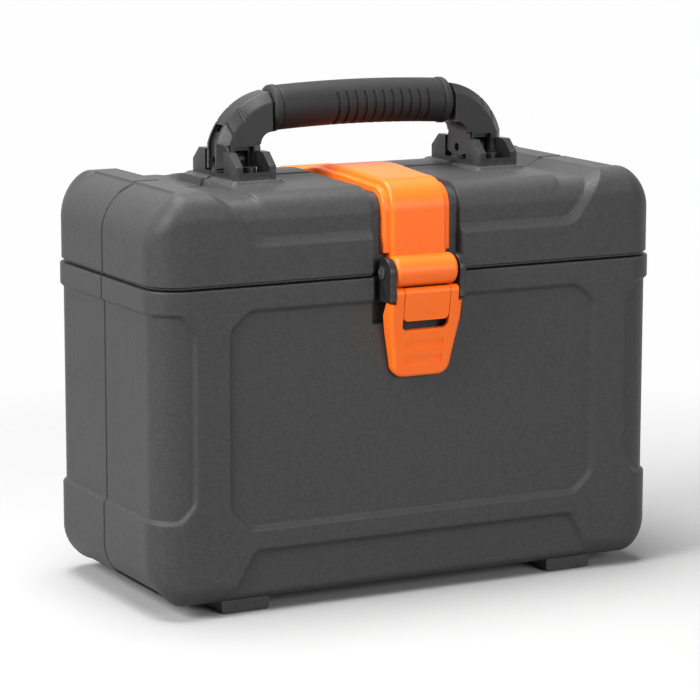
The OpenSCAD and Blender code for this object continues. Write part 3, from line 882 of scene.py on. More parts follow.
@dataclass
class CaseShells:
    """The four half shells: two of the body and two of the lid."""

    coat: Coat
    wall: float = 5.5
    upright_round: float = 20.0
    rim_round: float = 0.9
    seam_half: float = 0.95
    seam_depth: float = 1.5
    panel_depth: float = 2.0
    panel_half: float = 120.3
    panel_low: float = 48.6
    panel_cut: float = 12.4
    panel_run: float = 2.2
    foot_recess_depth: float = 2.5
    pocket_depth: float = 7.0
    pocket_height: float = 27.0
    strap_gap_half: float = 28.7
    gap_wall: float = 5.0
    channel_depth: float = 6.2
    trough_depth: float = 5.2
    plateau_depth: float = 2.5
    pad_half_w: float = 17.4
    pad_half_d: float = 33.6
    roof: float = 8.2
    flange_width: float = 13.5
    flange_height: float = 10.0
    boss_radius: float = 6.0
    hinge_offset: float = 85.0
    hinge_y: float = 84.0
    hinge_z: float = 189.0
    knuckle_radius: float = 5.48
    knuckle_offset: float = 15.0
    body_knuckle_half: float = 5.0
    lid_knuckle_half: float = 9.6
    bracket_offset: float = 80.3
    seal_width: float = 5.2
    seal_round: float = 14.0
    seal_play: float = 0.1
    crown: Outline = (
        (-60.0, 0.0), (-45.0, 0.2), (-30.0, 0.55), (-15.0, 1.0), (0.0, 1.6), (10.0, 2.1), (18.0, 2.3),
        (26.0, 2.0), (34.0, 1.2), (42.0, 0.1), (50.0, -1.3), (60.0, -3.1),
    )

    def __post_init__(self) -> None:
        """Read the shells' levels and half sizes from the frame."""
        low, high = node_box("body_front_shell")
        self.body_w, self.body_d = high[0], -low[1]
        self.body_low, self.body_high = low[2], high[2]
        low, high = node_box("lid_front_shell")
        self.lid_w, self.lid_d, self.lid_low = high[0], -low[1], low[2]
        self.pad_top = high[2]
        self.lid_top = self.pad_top - 0.3
        self.panel_top = self.body_high - 12.8

    def _corner_share(self, x: np.ndarray, y: np.ndarray, half_w: float, half_d: float) -> np.ndarray:
        """How far places lie round the upright corner.

        Args:
            x: Places across.
            y: Places from front to rear.
            half_w: Half the shell's width.
            half_d: Its depth from the middle plane.

        Returns:
            0 on the end, 1 on the front and a smooth change between.
        """
        r = self.upright_round
        u = np.maximum(np.abs(x) - (half_w - r), 0)
        v = np.maximum(np.abs(y) - (half_d - r), 0)
        flat = np.where(np.abs(x) > half_w - r, 0, 1)
        t = np.where(u + v > 0, np.arctan2(v, u + 1e-9) / (math.pi / 2), flat)
        t = np.where((u == 0) & (v == 0), 0.5, t)
        return t * t * (3 - 2 * t)

    def _plan(self, x: np.ndarray, y: np.ndarray, half_w: float, half_d: float) -> np.ndarray:
        """Distance to the shell's outline seen from above."""
        return rounded_meet(np.abs(x) - half_w, np.abs(y) - half_d, self.upright_round)

    def _seam(self, y: np.ndarray, half: np.ndarray | float) -> np.ndarray:
        """Depth of the groove where the front and rear halves meet, for its half width."""
        return self.seam_depth * ramp(half - np.abs(y), self.seam_half - 0.35, 0.3)

    def body_form(self, latch: bool) -> Callable:
        """The outside of a body half.

        Args:
            latch: Whether this half has the latch pocket.

        Returns:
            Its signed distance.
        """
        base, top = self.panel_low, self.panel_top
        column = [(150.2, 56.2), (400.0, 54.8), (400.0, top), (149.0, top), (140.5, top - 12), (140.5, 67.0)]
        p, c = self.panel_half, self.panel_cut
        panel = [(-p, base + c), (-p + c, base), (p - c, base), (p, base + c)]
        panel += [(p, top - 11), (p - c, top), (-p + c, top), (-p, top - 11)]
        foot_recess = [(-118.5, -40.0), (118.5, -40.0), (117.0, 16.0)]
        foot_recess += [(104.6, 37.6), (-104.6, 37.6), (-117.0, 16.0)]

        def form(x: np.ndarray, y: np.ndarray, z: np.ndarray) -> np.ndarray:
            """Signed distance of the body half's outside.

            Args:
                x: Places across.
                y: Places from front to rear.
                z: Places upwards.

            Returns:
                The distances.
            """
            across = np.abs(x)
            share = self._corner_share(x, y, self.body_w, self.body_d)
            f = rounded_meet(self._plan(x, y, self.body_w, self.body_d), self.body_low - z, 25 - 13 * share)
            on_front = ramp(-y - 40, 6.0)
            f = f + self.panel_depth * ramp(-convex(across, z, column, 3.0), 1.9)
            f = f + self.panel_depth * ramp(-convex(x, z, panel, 3.0), self.panel_run) * on_front
            cut = soft_max(f, -y - (self.body_d - self.foot_recess_depth), 0.8)
            f = mixed(f, cut, ramp(-convex(x, z, foot_recess, 2.5), 2.6) * on_front)
            if latch:
                pocket = soft_max(across - self.strap_gap_half, self.body_high - self.pocket_height - z, 1.0)
                f = mixed(f, -y - (self.body_d - self.pocket_depth), ramp(0.4 - pocket, 0.8) * on_front)
            f = f + self._seam(y, self.seam_half)
            return rounded_meet(f, z - self.body_high, self.rim_round)

        return form

    def lid_form(self, side: Side) -> Callable:
        """The outside of a lid half.

        Args:
            side: The front or the rear half, whose middle is crowned differently.

        Returns:
            Its signed distance.
        """
        top, depth = self.lid_top, self.lid_d
        recess = [(-105.0, top - 31), (105.0, top - 31), (159.0, top + 41), (-159.0, top + 41)]
        raised = [(-93.0, top - 15.2), (93.0, top - 15.2), (136.6, top + 41), (-136.6, top + 41)]

        def form(x: np.ndarray, y: np.ndarray, z: np.ndarray) -> np.ndarray:
            """Signed distance of the lid half's outside.

            Args:
                x: Places across.
                y: Places from front to rear.
                z: Places upwards.

            Returns:
                The distances.
            """
            across = np.abs(x)
            share = self._corner_share(x, y, self.lid_w, depth)
            outer = rounded_meet(self._plan(x, y, self.lid_w, depth), z - top, 29 - 13.5 * share)
            recessed = np.abs(y) - (depth - 3)
            trough = rounded_meet(recessed, z - (top - self.trough_depth), 12.5)
            crown = np.interp(-side.value * y, *zip(*self.crown))
            plateau = rounded_meet(recessed, z - (top - self.plateau_depth + crown), 15.5)
            level = np.minimum(z, top - 1.0)
            core = mixed(trough, plateau, ramp(-convex(x, level, raised, 2.0), 2.6))
            f = mixed(outer, core, ramp(-convex(x, level, recess, 5.0), 4.4, 0.12))
            pad = np.abs(across - self.bracket_offset) - self.pad_half_w
            pad = soft_max(pad, np.abs(y) - self.pad_half_d, 3.0)
            f = mixed(f, z - self.pad_top, ramp(-pad, 1.9) * ramp(z - (top - 12), 4.0))
            channel = rounded_meet(np.abs(y) - (depth - 6), z - (top - self.channel_depth), 10.0)
            f = mixed(f, channel, ramp(self.strap_gap_half + 0.5 - across, 1.0))
            f = f + self._seam(y, self.seam_half + 1.2 * ramp(z - 231, 5.0))
            f = f + 1.5 * ramp(self.lid_low + 1.7 - z, 0.5)
            return rounded_meet(f, self.lid_low - z, 0.3)

        return form

    def _body_half(self, latch: bool) -> Solid:
        """The outer form of a body half on its grid.

        Args:
            latch: Whether this half has the latch pocket.

        Returns:
            The solid.
        """
        w, d, low, high = self.body_w, self.body_d, self.body_low, self.body_high
        x_bands = both_ways((w - 26, w, 1.5), (138.5, 152.5, 0.55), (102.5, 121.5, 0.55), (27.4, 30.2, 0.28))
        z_bands = (low, low + 26, 1.4), (35.0, 39.2, 0.5), (46.5, 68.5, 0.55), (160.2, 177.4, 0.5)
        skin = Skin(
            w, d, low, high, True,
            lines(-w, w, 9.0, *x_bands),
            lines(-d, 0.0, 6.0, (-d, -d + 22, 1.5), (-1.4, 0.0, 0.15)),
            lines(low, high, 8.0, *z_bands, (high - 1.2, high, 0.2)),
            (w - 26, d - 20, low + 26),
        )
        return skin.build(self.body_form(latch))

    def _lid_half(self, side: Side) -> Solid:
        """The outer form of a lid half on its grid.

        Args:
            side: The front or the rear half.

        Returns:
            The solid, drawn as a front half.
        """
        w, d, low, top = self.lid_w, self.lid_d, self.lid_low, self.lid_top
        x_bands = both_ways((w - 30, w, 1.5), (90.5, 132.0, 0.6), (61.5, 66.5, 0.5), (27.0, 30.4, 0.26))
        skin = Skin(
            w, d, low, top, False,
            lines(-w, w, 7.0, *x_bands),
            lines(-d, 0.0, 5.0, (-d, -d + 20, 1.2), (-36.0, -31.0, 0.5), (-2.6, 0.0, 0.16)),
            lines(low, top, 5.0, (low, low + 2.0, 0.2), (208.5, 217.5, 0.5), (217.5, top, 0.85)),
            (w - 30, d - 20, top - 30),
        )
        return skin.build(self.lid_form(side))

    def _hollow(self, half_w: float, half_d: float, ends: tuple[float, float],
                mouth: tuple[float, float], rounding: float) -> Solid:
        """The room inside a half shell and the opening through its rim's flange.

        Args:
            half_w: Half the shell's width.
            half_d: Its depth from the middle plane.
            ends: Level of the room's closed end, then of its open end.
            mouth: The opening's lowest and highest level.
            rounding: Rounding of the edges at the closed end.

        Returns:
            The hollow as a solid.
        """
        w, d, level = half_w - self.wall, half_d - self.wall, ends[0]
        room = Bench.block((-w, -d, min(ends)), (w, 5.0, max(ends)))
        Bench.bevel_where(room, self.upright_round - self.wall, 10, upright)
        Bench.bevel_where(
            room, rounding, 8,
            lambda a, b: abs(a.z - level) < 0.01 and abs(b.z - level) < 0.01 and min(a.y, b.y) < 0,
        )
        inset = self.flange_width
        gap = Bench.block((-half_w + inset, -half_d + inset, mouth[0]), (half_w - inset, 5.0, mouth[1]))
        return Bench.add(room, Bench.bevel_where(gap, self.upright_round - self.wall - 2, 10, upright))

    def _bosses(self, half_w: float, levels: Sequence[float]) -> list[Solid]:
        """Screw bosses that stay standing in a hollow.

        Args:
            half_w: Half the shell's width.
            levels: Heights of the screws.

        Returns:
            The bosses and their webs to the wall.
        """
        found = []
        for side in (-1, 1):
            for z in levels:
                x = side * (half_w - self.wall - self.boss_radius)
                found.append(Bench.rod((x, -12, z), (x, 6, z), self.boss_radius, 32))
                low, high = span(side, half_w - self.wall - 7, half_w + 1)
                found.append(Bench.block((low, -12, z - 6), (high, 6, z + 6)))
        return found

    def _hinged(self, shell: Solid, middles: Sequence[float], half: float, up: bool) -> None:
        """Add hinge knuckles with their roots on the shell's wall.

        Args:
            shell: The shell.
            middles: Places of the knuckles along the hinge.
            half: Half the length of each.
            up: Whether their roots reach up, to the lid.
        """
        y, z, r, wall = self.hinge_y, self.hinge_z, self.knuckle_radius, self.body_d - 3
        if up:
            root = [(wall - 0.5, z + 1), (y + r - 0.2, z + 1), (y - 1.0, z + 9), (wall - 0.5, z + 9)]
        else:
            root = [(wall, z - 14), (y - 4.4, z - 14), (y + r - 0.2, z - 1), (wall, z - 1)]
        pin_low, pin_high = node_box("hinge_pin_left")
        bore = (pin_high[1] - pin_low[1]) / 2 + 0.05
        for x in middles:
            barrel = Bench.rod((x - half, y, z), (x + half, y, z), r, 40)
            Bench.add(barrel, Bench.prism(root, Axis.X, x - half, x + half))
            Bench.cut(barrel, Bench.rod((x - half - 1, y, z), (x + half + 1, y, z), bore, 32))
            Bench.add(shell, Bench.round_edges(barrel, 0.5, 2, 35))

    def _seal_groove(self) -> Solid:
        """A cutter for the seal's groove in the rim of the lid's front half."""
        low, high = node_box("lid_seal")
        play, inner = self.seal_play, self.seal_width
        groove = Bench.block((low[0] - play, low[1] - play, low[2] - 3), (high[0] + play, 5, high[2]))
        Bench.bevel_where(groove, self.seal_round, 8, upright)
        island = Bench.block((low[0] + inner, low[1] + inner, low[2] - 5), (high[0] - inner, 7, high[2] + 3))
        return Bench.cut(groove, Bench.bevel_where(island, self.seal_round - 4.0, 8, upright))

    def body(self, side: Side) -> None:
        """Make one body half with its hollow, bosses and hinge knuckles.

        Args:
            side: The front or the rear half.
        """
        shell = self._body_half(side is Side.FRONT)
        w, d, low, top = self.body_w, self.body_d, self.body_low, self.body_high
        sill = top - self.flange_height
        hollow = self._hollow(w, d, (low + self.wall, sill), (sill - 1, top + 2), 7.0)
        keep = self._bosses(w, (low + 45, top - 40))
        if side is Side.FRONT:
            half = self.strap_gap_half + self.gap_wall
            keep.append(Bench.block((-half, -d + 3, top - 34), (half, -d + 12.5, top - 9)))
        Bench.cut(shell, Bench.cut(hollow, *keep))
        if side is Side.REAR:
            Bench.mirror(shell, Axis.Y)
            offset, apart = self.hinge_offset, self.knuckle_offset
            places = [s * offset + e * apart for s in (-1, 1) for e in (-1, 1)]
            self._hinged(shell, places, self.body_knuckle_half, False)
        self._finish(shell, "body", "case", side)

    def lid(self, side: Side) -> None:
        """Make one lid half with its hollow, bosses, seal groove and hinge knuckles.

        Args:
            side: The front or the rear half.
        """
        shell = self._lid_half(side)
        w, d, low, ceiling = self.lid_w, self.lid_d, self.lid_low, self.lid_top - self.roof
        sill = low + self.flange_height
        hollow = self._hollow(w, d, (ceiling, sill), (low - 2, sill + 1), 9.0)
        keep = self._bosses(w, (low + 26,))
        half = self.strap_gap_half + self.gap_wall
        keep.append(Bench.block((-half, -400, ceiling - 3), (half, 400, ceiling + 20)))
        keep.append(Bench.block((-half, -d - 5, low - 10), (half, -d + 12, ceiling + 20)))
        Bench.cut(shell, Bench.cut(hollow, *keep), self._seal_groove())
        if side is Side.REAR:
            Bench.mirror(shell, Axis.Y)
            self._hinged(shell, [-self.hinge_offset, self.hinge_offset], self.lid_knuckle_half, True)
        self._finish(shell, "lid", "lid", side)

    def _finish(self, shell: Solid, part: str, body: str, side: Side) -> None:
        """Name a half shell by its part and side, and finish it.

        Args:
            shell: The half shell.
            part: What it is half of.
            body: The body that it moves with.
            side: The front or the rear half.
        """
        end = side.name.lower()
        Bench.finish(shell, f"{part}_shell_{end}", body, self.coat, [f"{part}_{end}_shell"], even=False)

    def build(self) -> None:
        """Make all four half shells."""
        for side in Side:
            self.body(side)
            self.lid(side)


# Strap and draw latch

@dataclass
class Latch:
    """The strap over the lid and the link, lever and slide button that hang from it."""

    orange: Coat
    black: Coat
    barrel: tuple[float, float] = (-80.3, 191.5)
    lever_at: tuple[float, float] = (-85.5, 179.6)
    lever_tilt: float = 9.35
    lever_front: float = -3.4
    strip_round: float = 3.4
    bar_half: float = 2.75
    barrel_half: float = 20.0
    barrel_radius: float = 9.2
    pin_bore: float = 3.04
    band_half: float = 18.35
    flange_half: float = 21.75
    flange_front: float = 201.7
    strap_end: float = 193.4
    strap_y: float = 70.8
    strap_z: float = 235.8
    bend_y: float = 60.8
    bend_z: float = 225.8
    bend_steps: int = 20
    flange_lift: Outline = (
        (-58, 0), (-42, 0.9), (-22, 2.2), (0, 2.8), (12, 2.7), (20, 1.8), (30, 0.0), (42, -1.9),
        (50, -3.0), (58, -3.5), (64, -3.5), (99, 0),
    )
    band_lift: Outline = (
        (-58, 0), (-42, 1.0), (-22, 2.5), (-10, 2.7), (0, 2.1), (12, 0.6), (20, -0.9), (30, -2.9),
        (42, -5.0), (50, -6.2), (58, -6.7), (64, -6.7), (99, 0),
    )

    def _bend(self, side: int) -> list[tuple[float, float, float]]:
        """Stations round one upper corner of the channel.

        Args:
            side: -1 for the front corner, which is climbed, 1 for the rear one.

        Returns:
            Triples of y, z and the direction that faces outwards there, in degrees.
        """
        start = 90 - 45 * (side - 1)
        points = arc((side * self.bend_y, self.bend_z), 10, start, start - 90, self.bend_steps)
        return [(y, z, start - 90 * k / self.bend_steps) for k, (y, z) in enumerate(points)]

    def _strap_layer(self, section: Outline, lift: Outline, low_front: float) -> Solid:
        """A cross-section carried up the front of the channel, over the top and down the rear.

        Args:
            section: Points of x and height above the channel floor.
            lift: Pairs of place along the top and extra height there.
            low_front: Height of the front end.

        Returns:
            The layer.
        """
        path = [(-self.strap_y, low_front, 180.0), (-self.strap_y, 210.0, 180.0), *self._bend(-1)]
        path += [(y, self.strap_z, 90.0) for y in np.linspace(-57, 57, 39)]
        path += [*self._bend(1), (self.strap_y, 212.0, 0.0), (self.strap_y, self.strap_end, 0.0)]
        base = np.array(path)
        turn = np.radians(base[:, 2])
        shape = np.array(section, float)
        rounding = np.where(base[:, 0] < 0, -99, 99 - turn * 22)
        along = np.where(base[:, 1] > self.strap_z - 0.01, base[:, 0], rounding)
        extra = np.interp(along, *zip(*lift))

        def place(i: np.ndarray, j: np.ndarray) -> tuple:
            """Points of the section along the path.

            Args:
                i: Numbers of the stations.
                j: Numbers of the section's points.

            Returns:
                The three coordinates.
            """
            rise = shape[j, 1] + np.where(shape[j, 1] > 0.5, extra[i], 0)
            return shape[j, 0], base[i, 0] + rise * np.cos(turn[i]), base[i, 1] + rise * np.sin(turn[i])

        return Bench.tube(len(base), len(shape), place)

    @staticmethod
    def _section(half: float, root: float, low: float, height: float, radius: float) -> Outline:
        """A low bar's cross-section, anticlockwise, with rounded shoulders that start at a root."""
        right = arc((root - radius, height - radius), radius, 0, 90, 7)
        return [(-half, low), (half, low)] + mirrored(right)

    def strap(self) -> None:
        """Flanges, middle band and latch barrel as one moulding."""
        y, z = self.barrel
        end = self.strap_end + 0.05
        section = self._section(self.flange_half, self.flange_half, 0.08, 4.0, 1.3)
        flange = self._strap_layer(section, self.flange_lift, self.flange_front)
        section = self._section(self.band_half, 17.9, 0.06, 7.3, 2.1)
        band = self._strap_layer(section, self.band_lift, z)
        for part, front in ((flange, self.flange_front + 0.05), (band, -0.95)):
            Bench.bevel_where(
                part, 0.6, 3,
                lambda a, b: max(a.z, b.z) < front or (min(a.y, b.y) > 70 and max(a.z, b.z) < end),
            )
        half = self.barrel_half
        rod = Bench.rod((-half, y, z), (half, y, z), self.barrel_radius, 96)
        Bench.bevel_where(rod, 2.6, 6, lambda a, b: abs(a.x) > half - 0.1 and abs(b.x - a.x) < 0.01)
        obj = Bench.add(band, flange, rod)
        bores = [Bench.rod((-30, y, z), (30, y, z), self.pin_bore, 48)]
        bores += [Bench.rod((s * 10, 60, 203.4), (s * 10, 82, 203.4), 1.55, 24) for s in (-1, 1)]
        Bench.cut(obj, *bores)
        Bench.finish(obj, "strap_moulding", "lid", self.orange, ["latch_strap"], 40)

    def link(self) -> None:
        """Two ears on the barrel's pin, joined by a crossbar."""
        (y, z), (ly, lz) = self.barrel, self.lever_at
        low, top_r, low_r, back = 174.6, 8.8, 5.1, 8.3
        front, rear = y - top_r, y + back
        side = math.degrees(math.acos(back / top_r))
        corner = math.degrees(math.acos((ly - front) / low_r))
        outline = [(rear, low)]
        outline += arc((y, z), top_r, -side, 180, 30)
        outline += arc((ly, lz), low_r, 180 + corner, 259, 8)
        outline += [(ly + 1.2, low)]
        ears = []
        for s in (-1, 1):
            ear = Bench.prism(outline, Axis.X, *span(s, 20.7, 25))
            Bench.round_edges(ear, 0.75, 2, 50)
            pin = Bench.rod((s * 19, y, z), (s * 27, y, z), 3.08, 40)
            trunnion = Bench.rod((s * 19, ly, lz), (s * 23.2, ly, lz), 1.9, 32)
            ears.append(Bench.cut(ear, pin, trunnion))
        bar = Bench.round_edges(Bench.block((-21.4, y + 0.4, 175.1), (21.4, y + 3.1, 179.9)), 0.5)
        obj = Bench.add(bar, *ears)
        Bench.finish(obj, "latch_link_moulding", "latch_link", self.black, ["latch_link"], 40)

    def _in_lever(self, obj: Solid) -> Solid:
        """Tilt a piece drawn about the lever's pivot into its place.

        Args:
            obj: The piece.

        Returns:
            The same piece.
        """
        turn = Matrix.Rotation(math.radians(self.lever_tilt), 4, "X")
        obj.data.transform(Matrix.Translation((0, *self.lever_at)) @ turn)
        return obj

    @staticmethod
    def _lever_outline(inset: float) -> Outline:
        """Front view of the lever.

        Args:
            inset: How far the outline lies inside the lever's.

        Returns:
            The outline.
        """
        low, r = -50.4 + inset, 8 - inset
        top, narrow = 23.5 - inset, 19 - inset
        right = [(top, -5.6 - inset), (top, -15.0)]
        return mirrored(right + arc((narrow - r, low + r), r, 0, -90, 12))

    @staticmethod
    def _window(half: float, top: float, low: float, radius: float) -> Outline:
        """A slot open at the top with rounded lower corners."""
        return mirrored([(half, top)] + arc((half - radius, low + radius), radius, 0, -90, 8))

    def lever(self) -> None:
        """The pull lever: curved front, hollow back, window, grip bars, strips and trunnions."""
        front, r = self.lever_front, self.strip_round
        plate = Bench.prism(self._lever_outline(0), Axis.Y, front, 9)
        side = [(front - 1, -5.6), (front - 1, -52), (1.2, -51.4)]
        side += [(5.2, -25), (5.4, -14), (3, -6.2), (3, -5.6)]
        Bench.combine(plate, "INTERSECT", Bench.prism(side, Axis.X, -30, 30))
        Bench.bevel_where(
            plate, 2.5, 6, lambda a, b: max(a.y, b.y) < front + 0.01 and min(a.z, b.z) < -5.7
        )
        hollow = Bench.prism(self._lever_outline(2.5), Axis.Y, -0.4, 20)
        Bench.cut(hollow, Bench.block((-40, -10, -9), (40, 30, 0)))
        Bench.cut(plate, hollow, Bench.prism(self._window(15.2, 8, -21.6, 3.1), Axis.Y, -20, 20))
        for s in (-1, 1):
            outline = arc((0, 0), r, 40, 180, 16) + [(-r, -9), (2.6, -9)]
            strip = Bench.prism(outline, Axis.X, *span(s, 15.2, 20.3))
            Bench.add(plate, Bench.round_edges(strip, 0.3, 2, 50))
            Bench.add(plate, Bench.rod((s * 19, 0, 0), (s * 22.8, 0, 0), 1.8, 32))
        Bench.add(plate, Bench.block((-12, -1, -33), (12, 1.6, -29)))
        bars = []
        for z in (-30.8, -40.3):
            wedge = [(-12.6, front - 1), (12.5, front - 1), (12.5, front + 0.95), (-12.6, front + 0.5)]
            bar = Bench.prism(wedge, Axis.Z, z - self.bar_half, z + self.bar_half)
            bars.append(Bench.round_edges(bar, 0.35, 2, 50))
        Bench.cut(plate, *bars)
        self._in_lever(plate)
        Bench.finish(plate, "lever_moulding", "latch_lever", self.orange, ["latch_lever"], 36)

    def slide(self) -> None:
        """The slide button with its guide plate and catch."""
        button = Bench.prism(self._window(14.75, 4, -16.1, 3.2), Axis.Y, -6, 6)
        side = arc((0, 0), 3.2, 90, 180, 14) + [(-3.2, -20), (-0.2, -20), (-0.2, 3.19)]
        Bench.combine(button, "INTERSECT", Bench.prism(side, Axis.X, -30, 30))
        Bench.bevel_where(
            button, 0.8, 4,
            lambda a, b: max(a.y, b.y) < (-0.3 if min(abs(a.x), abs(b.x)) > 14.7 else -3.19),
        )
        guide = Bench.block((-17.4, -0.25, -16), (17.4, 1.4, -9.6))
        catch = Bench.block((-6, 1.2, -12), (6, 7.4, -9.6))
        Bench.add(button, Bench.round_edges(guide, 0.25, 1), Bench.round_edges(catch, 0.3))
        self._in_lever(button)
        Bench.finish(button, "slide_moulding", "latch_slide", self.orange, ["latch_slide"], 36)

    def build(self) -> None:
        """Model the strap and the latch."""
        self.strap()
        self.link()
        self.lever()
        self.slide()


# Carrying handle

@dataclass
class Handle:
    """Brackets on the lid, two legs and the rubber grip between them."""

    black: Coat
    rubber: Coat
    offset: float = 80.3
    pivot: float = 251.0
    seat: float = 242.3
    base_x: float = 12.75
    base_y: float = 29.5
    upstand_x: float = 4.7
    upstand_round: float = 5.6
    screw_y: float = 20.5
    grip_z: float = 279.8
    grip_half: float = 60.3
    grip_end: Outline = (
        (0.0, 10.4), (1.6, 12.6), (2.3, 13.3), (2.9, 13.7),
        (5.4, 13.75), (5.9, 13.4), (6.4, 12.7), (7.0, 13.15),
    )
    bow: float = 2.0
    slot_depth: float = 1.25
    leg_round: float = 42.0
    leg_reach: float = 14.3

    def bracket(self, s: int) -> None:
        """One bracket: base, four posts, low end walls and the pivot's upstand.

        Args:
            s: -1 for the left bracket, 1 for the right one.
        """
        x, h, p = s * self.offset, self.seat, self.pivot
        w, d, t = self.base_x, self.base_y, self.upstand_x
        obj = Bench.block((x - w, -d, h), (x + w, d, h + 2.4))
        tools = []
        for m in (-1, 1):
            y = m * self.screw_y
            post = [(d, h), (d, h + 7.5), (21, h + 14.9), (12.5, h + 14.9), (12.5, h)]
            outline = [(m * u, z) for u, z in post]
            tools += [Bench.prism(outline, Axis.X, *span(e, 8.35, w, x)) for e in (-1, 1)]
            low, high = span(m, 26.5, d)
            tools.append(Bench.block((x - 12.7, low, h + 0.1), (x + 12.7, high, h + 4)))
            tools.append(Bench.rod((x, y, h + 0.2), (x, y, h + 6.6), 3.8, 32))
        tools.append(Bench.block((x - t, -5.4, h + 0.1), (x + t, 5.4, p)))
        tools.append(Bench.rod((x - t, 0, p), (x + t, 0, p), self.upstand_round, 48))
        Bench.add(obj, *tools)
        Bench.round_edges(obj, 0.6, 2, 35)
        bores = [Bench.rod((x - 6, 0, p), (x + 6, 0, p), 2.58, 32)]
        for y in (-self.screw_y, self.screw_y):
            bores.append(Bench.rod((x, y, h - 1), (x, y, h + 5.5), 2.07, 24))
        Bench.cut(obj, *bores)
        hand = HANDS[s]
        Bench.finish(obj, f"bracket_moulding_{hand}", "lid", self.black, [f"handle_bracket_{hand}"], 38)

    def _leg_outline(self, inset: float) -> Outline:
        """Side view of the right leg.

        Args:
            inset: How far its outer curve lies inside the leg's.

        Returns:
            The outline.
        """
        cx, cz, r = self.offset - 26, self.pivot - 2, self.leg_round - inset
        outer = self.offset + self.leg_reach - inset
        low, inner = self.pivot - 5.9, self.offset - 19.5
        start = math.degrees(math.acos((outer - cx) / r))
        end = math.degrees(math.acos((inner - cx) / r))
        hollow, bend = (self.offset - 19.0, self.pivot + 9.3), 7.15
        inside = math.degrees(math.acos((inner - hollow[0]) / bend))
        outline = [(outer, low)] + arc((cx, cz), r, start, end, 30)
        return outline + arc(hollow, bend, inside, 0, 12) + [(hollow[0] + bend, low)]

    def _leg_solid(self) -> Solid:
        """The right leg with its chamfers, before its cuts: four outlines joined from front to rear."""
        y = np.array([-12.0, -6.5, 6.5, 12.0])
        shape = np.array([self._leg_outline(inset) for inset in (5.6, 0.0, 0.0, 5.6)])
        return Bench.tube(len(y), shape.shape[1], lambda i, j: (shape[i, j, 0], y[i], shape[i, j, 1]))

    def _groove(self, low_angle: float, high_angle: float, side: int) -> Solid:
        """A thin rod laid over the chamfer, to cut a groove between two angles of its edges.

        Args:
            low_angle: Angle on the edge at the face, in degrees.
            high_angle: Angle on the edge at the middle.
            side: -1 for the front chamfer, 1 for the rear one.

        Returns:
            The rod.
        """
        cx, cz = self.offset - 26, self.pivot - 2
        ends = []
        for angle, radius, y in ((low_angle, 35.6, 12.8), (high_angle, 42.9, 5.6)):
            t = math.radians(angle)
            limit = self.offset + self.leg_reach - (self.leg_round - radius)
            ends.append(Vector((min(cx + radius * math.cos(t), limit), side * y, cz + radius * math.sin(t))))
        return Bench.rod(ends[0], ends[1], 0.85, 10)

    def _channel(self) -> Solid:
        """A cutter for the shallow channel down the right leg's outer face."""
        x, p = self.offset, self.pivot
        inner = arc((x - 26, p - 2), 40.2, 33, 16.2, 10)
        outline = [(x + 20, p - 10), (x + 20, p + 24), (x + 12.6, p + 23.1)] + inner + [(x + 12.6, p - 10)]
        return Bench.prism(outline, Axis.Y, -4.6, 4.6)

    def _leg_tools(self) -> list[Solid]:
        """Cutters for the right leg's slot, windows, reliefs, bores, channel and grooves."""
        x, p = self.offset, self.pivot
        under = [(-14, -2.1), (0, -5.8), (14, -2.1), (14, -40), (-14, -40)]
        tools = [
            Bench.prism([(y, p + z) for y, z in under], Axis.X, 20, 140),
            Bench.block((x - 5, -30, p - 20), (x + 5, 30, p + 6.1)),
            self._channel(),
            Bench.block((x + 4.5, -4.2, p + 16.4), (x + 22, 4.2, p + 20.6)),
            Bench.rod((20, 0, p), (140, 0, p), 2.54, 32),
            Bench.rod((20, 0, self.grip_z), (x - 6, 0, self.grip_z), 5.04, 40),
        ]
        relief = [(12.05, 2.4), (10.15, 9.35), (12.7, 10.05), (12.7, 2.4)]
        for s in (-1, 1):
            low, high = span(s, 8, 14)
            tools.append(Bench.block((x - 7, low, p - 20), (x + 5, high, p + 8.7)))
            tools.append(Bench.rod((x + 8.9, s * 11.9, p - 8), (x + 8.9, s * 11.9, p + 8.5), 0.5, 10))
            tools += [self._groove(*angles, s) for angles in ((45, 51), (28, 37))]
            for near, far in ((8.0, 13.1), (-13.1, -8.0)):
                tools.append(Bench.prism([(s * y, p + z) for y, z in relief], Axis.X, x + near, x + far))
        return tools

    def legs(self) -> None:
        """The right leg with its chamfers and cuts, and its mirror image."""
        leg = Bench.round_edges(self._leg_solid(), 0.5, 2, 28)
        Bench.cut(leg, *self._leg_tools())
        for obj, hand in ((leg, "right"), (Bench.mirror(Bench.copy(leg), Axis.X), "left")):
            Bench.finish(obj, f"leg_moulding_{hand}", "handle", self.black, [f"handle_leg_{hand}"], 30)

    def grip(self) -> None:
        """The grip sleeve: end rings, chamfers and slots that fade out near the top."""
        half, around = self.grip_half, 96
        ring_x = [-half + s for s, _ in self.grip_end] + [half - s for s, _ in reversed(self.grip_end)]
        ring_r = [r for _, r in self.grip_end] + [r for _, r in reversed(self.grip_end)]
        rings = len(self.grip_end)
        plain, slotted = np.arange(-52, -21, 2.0), np.arange(-20.4, 44.5, 0.3)
        x = np.concatenate([ring_x[:rings], plain, slotted, np.arange(45.5, 53.0, 2.0), ring_x[rings:]])
        bend = (half ** 2 + self.bow ** 2) / (2 * self.bow)
        slots = np.arange(-18, 43, 6.0)

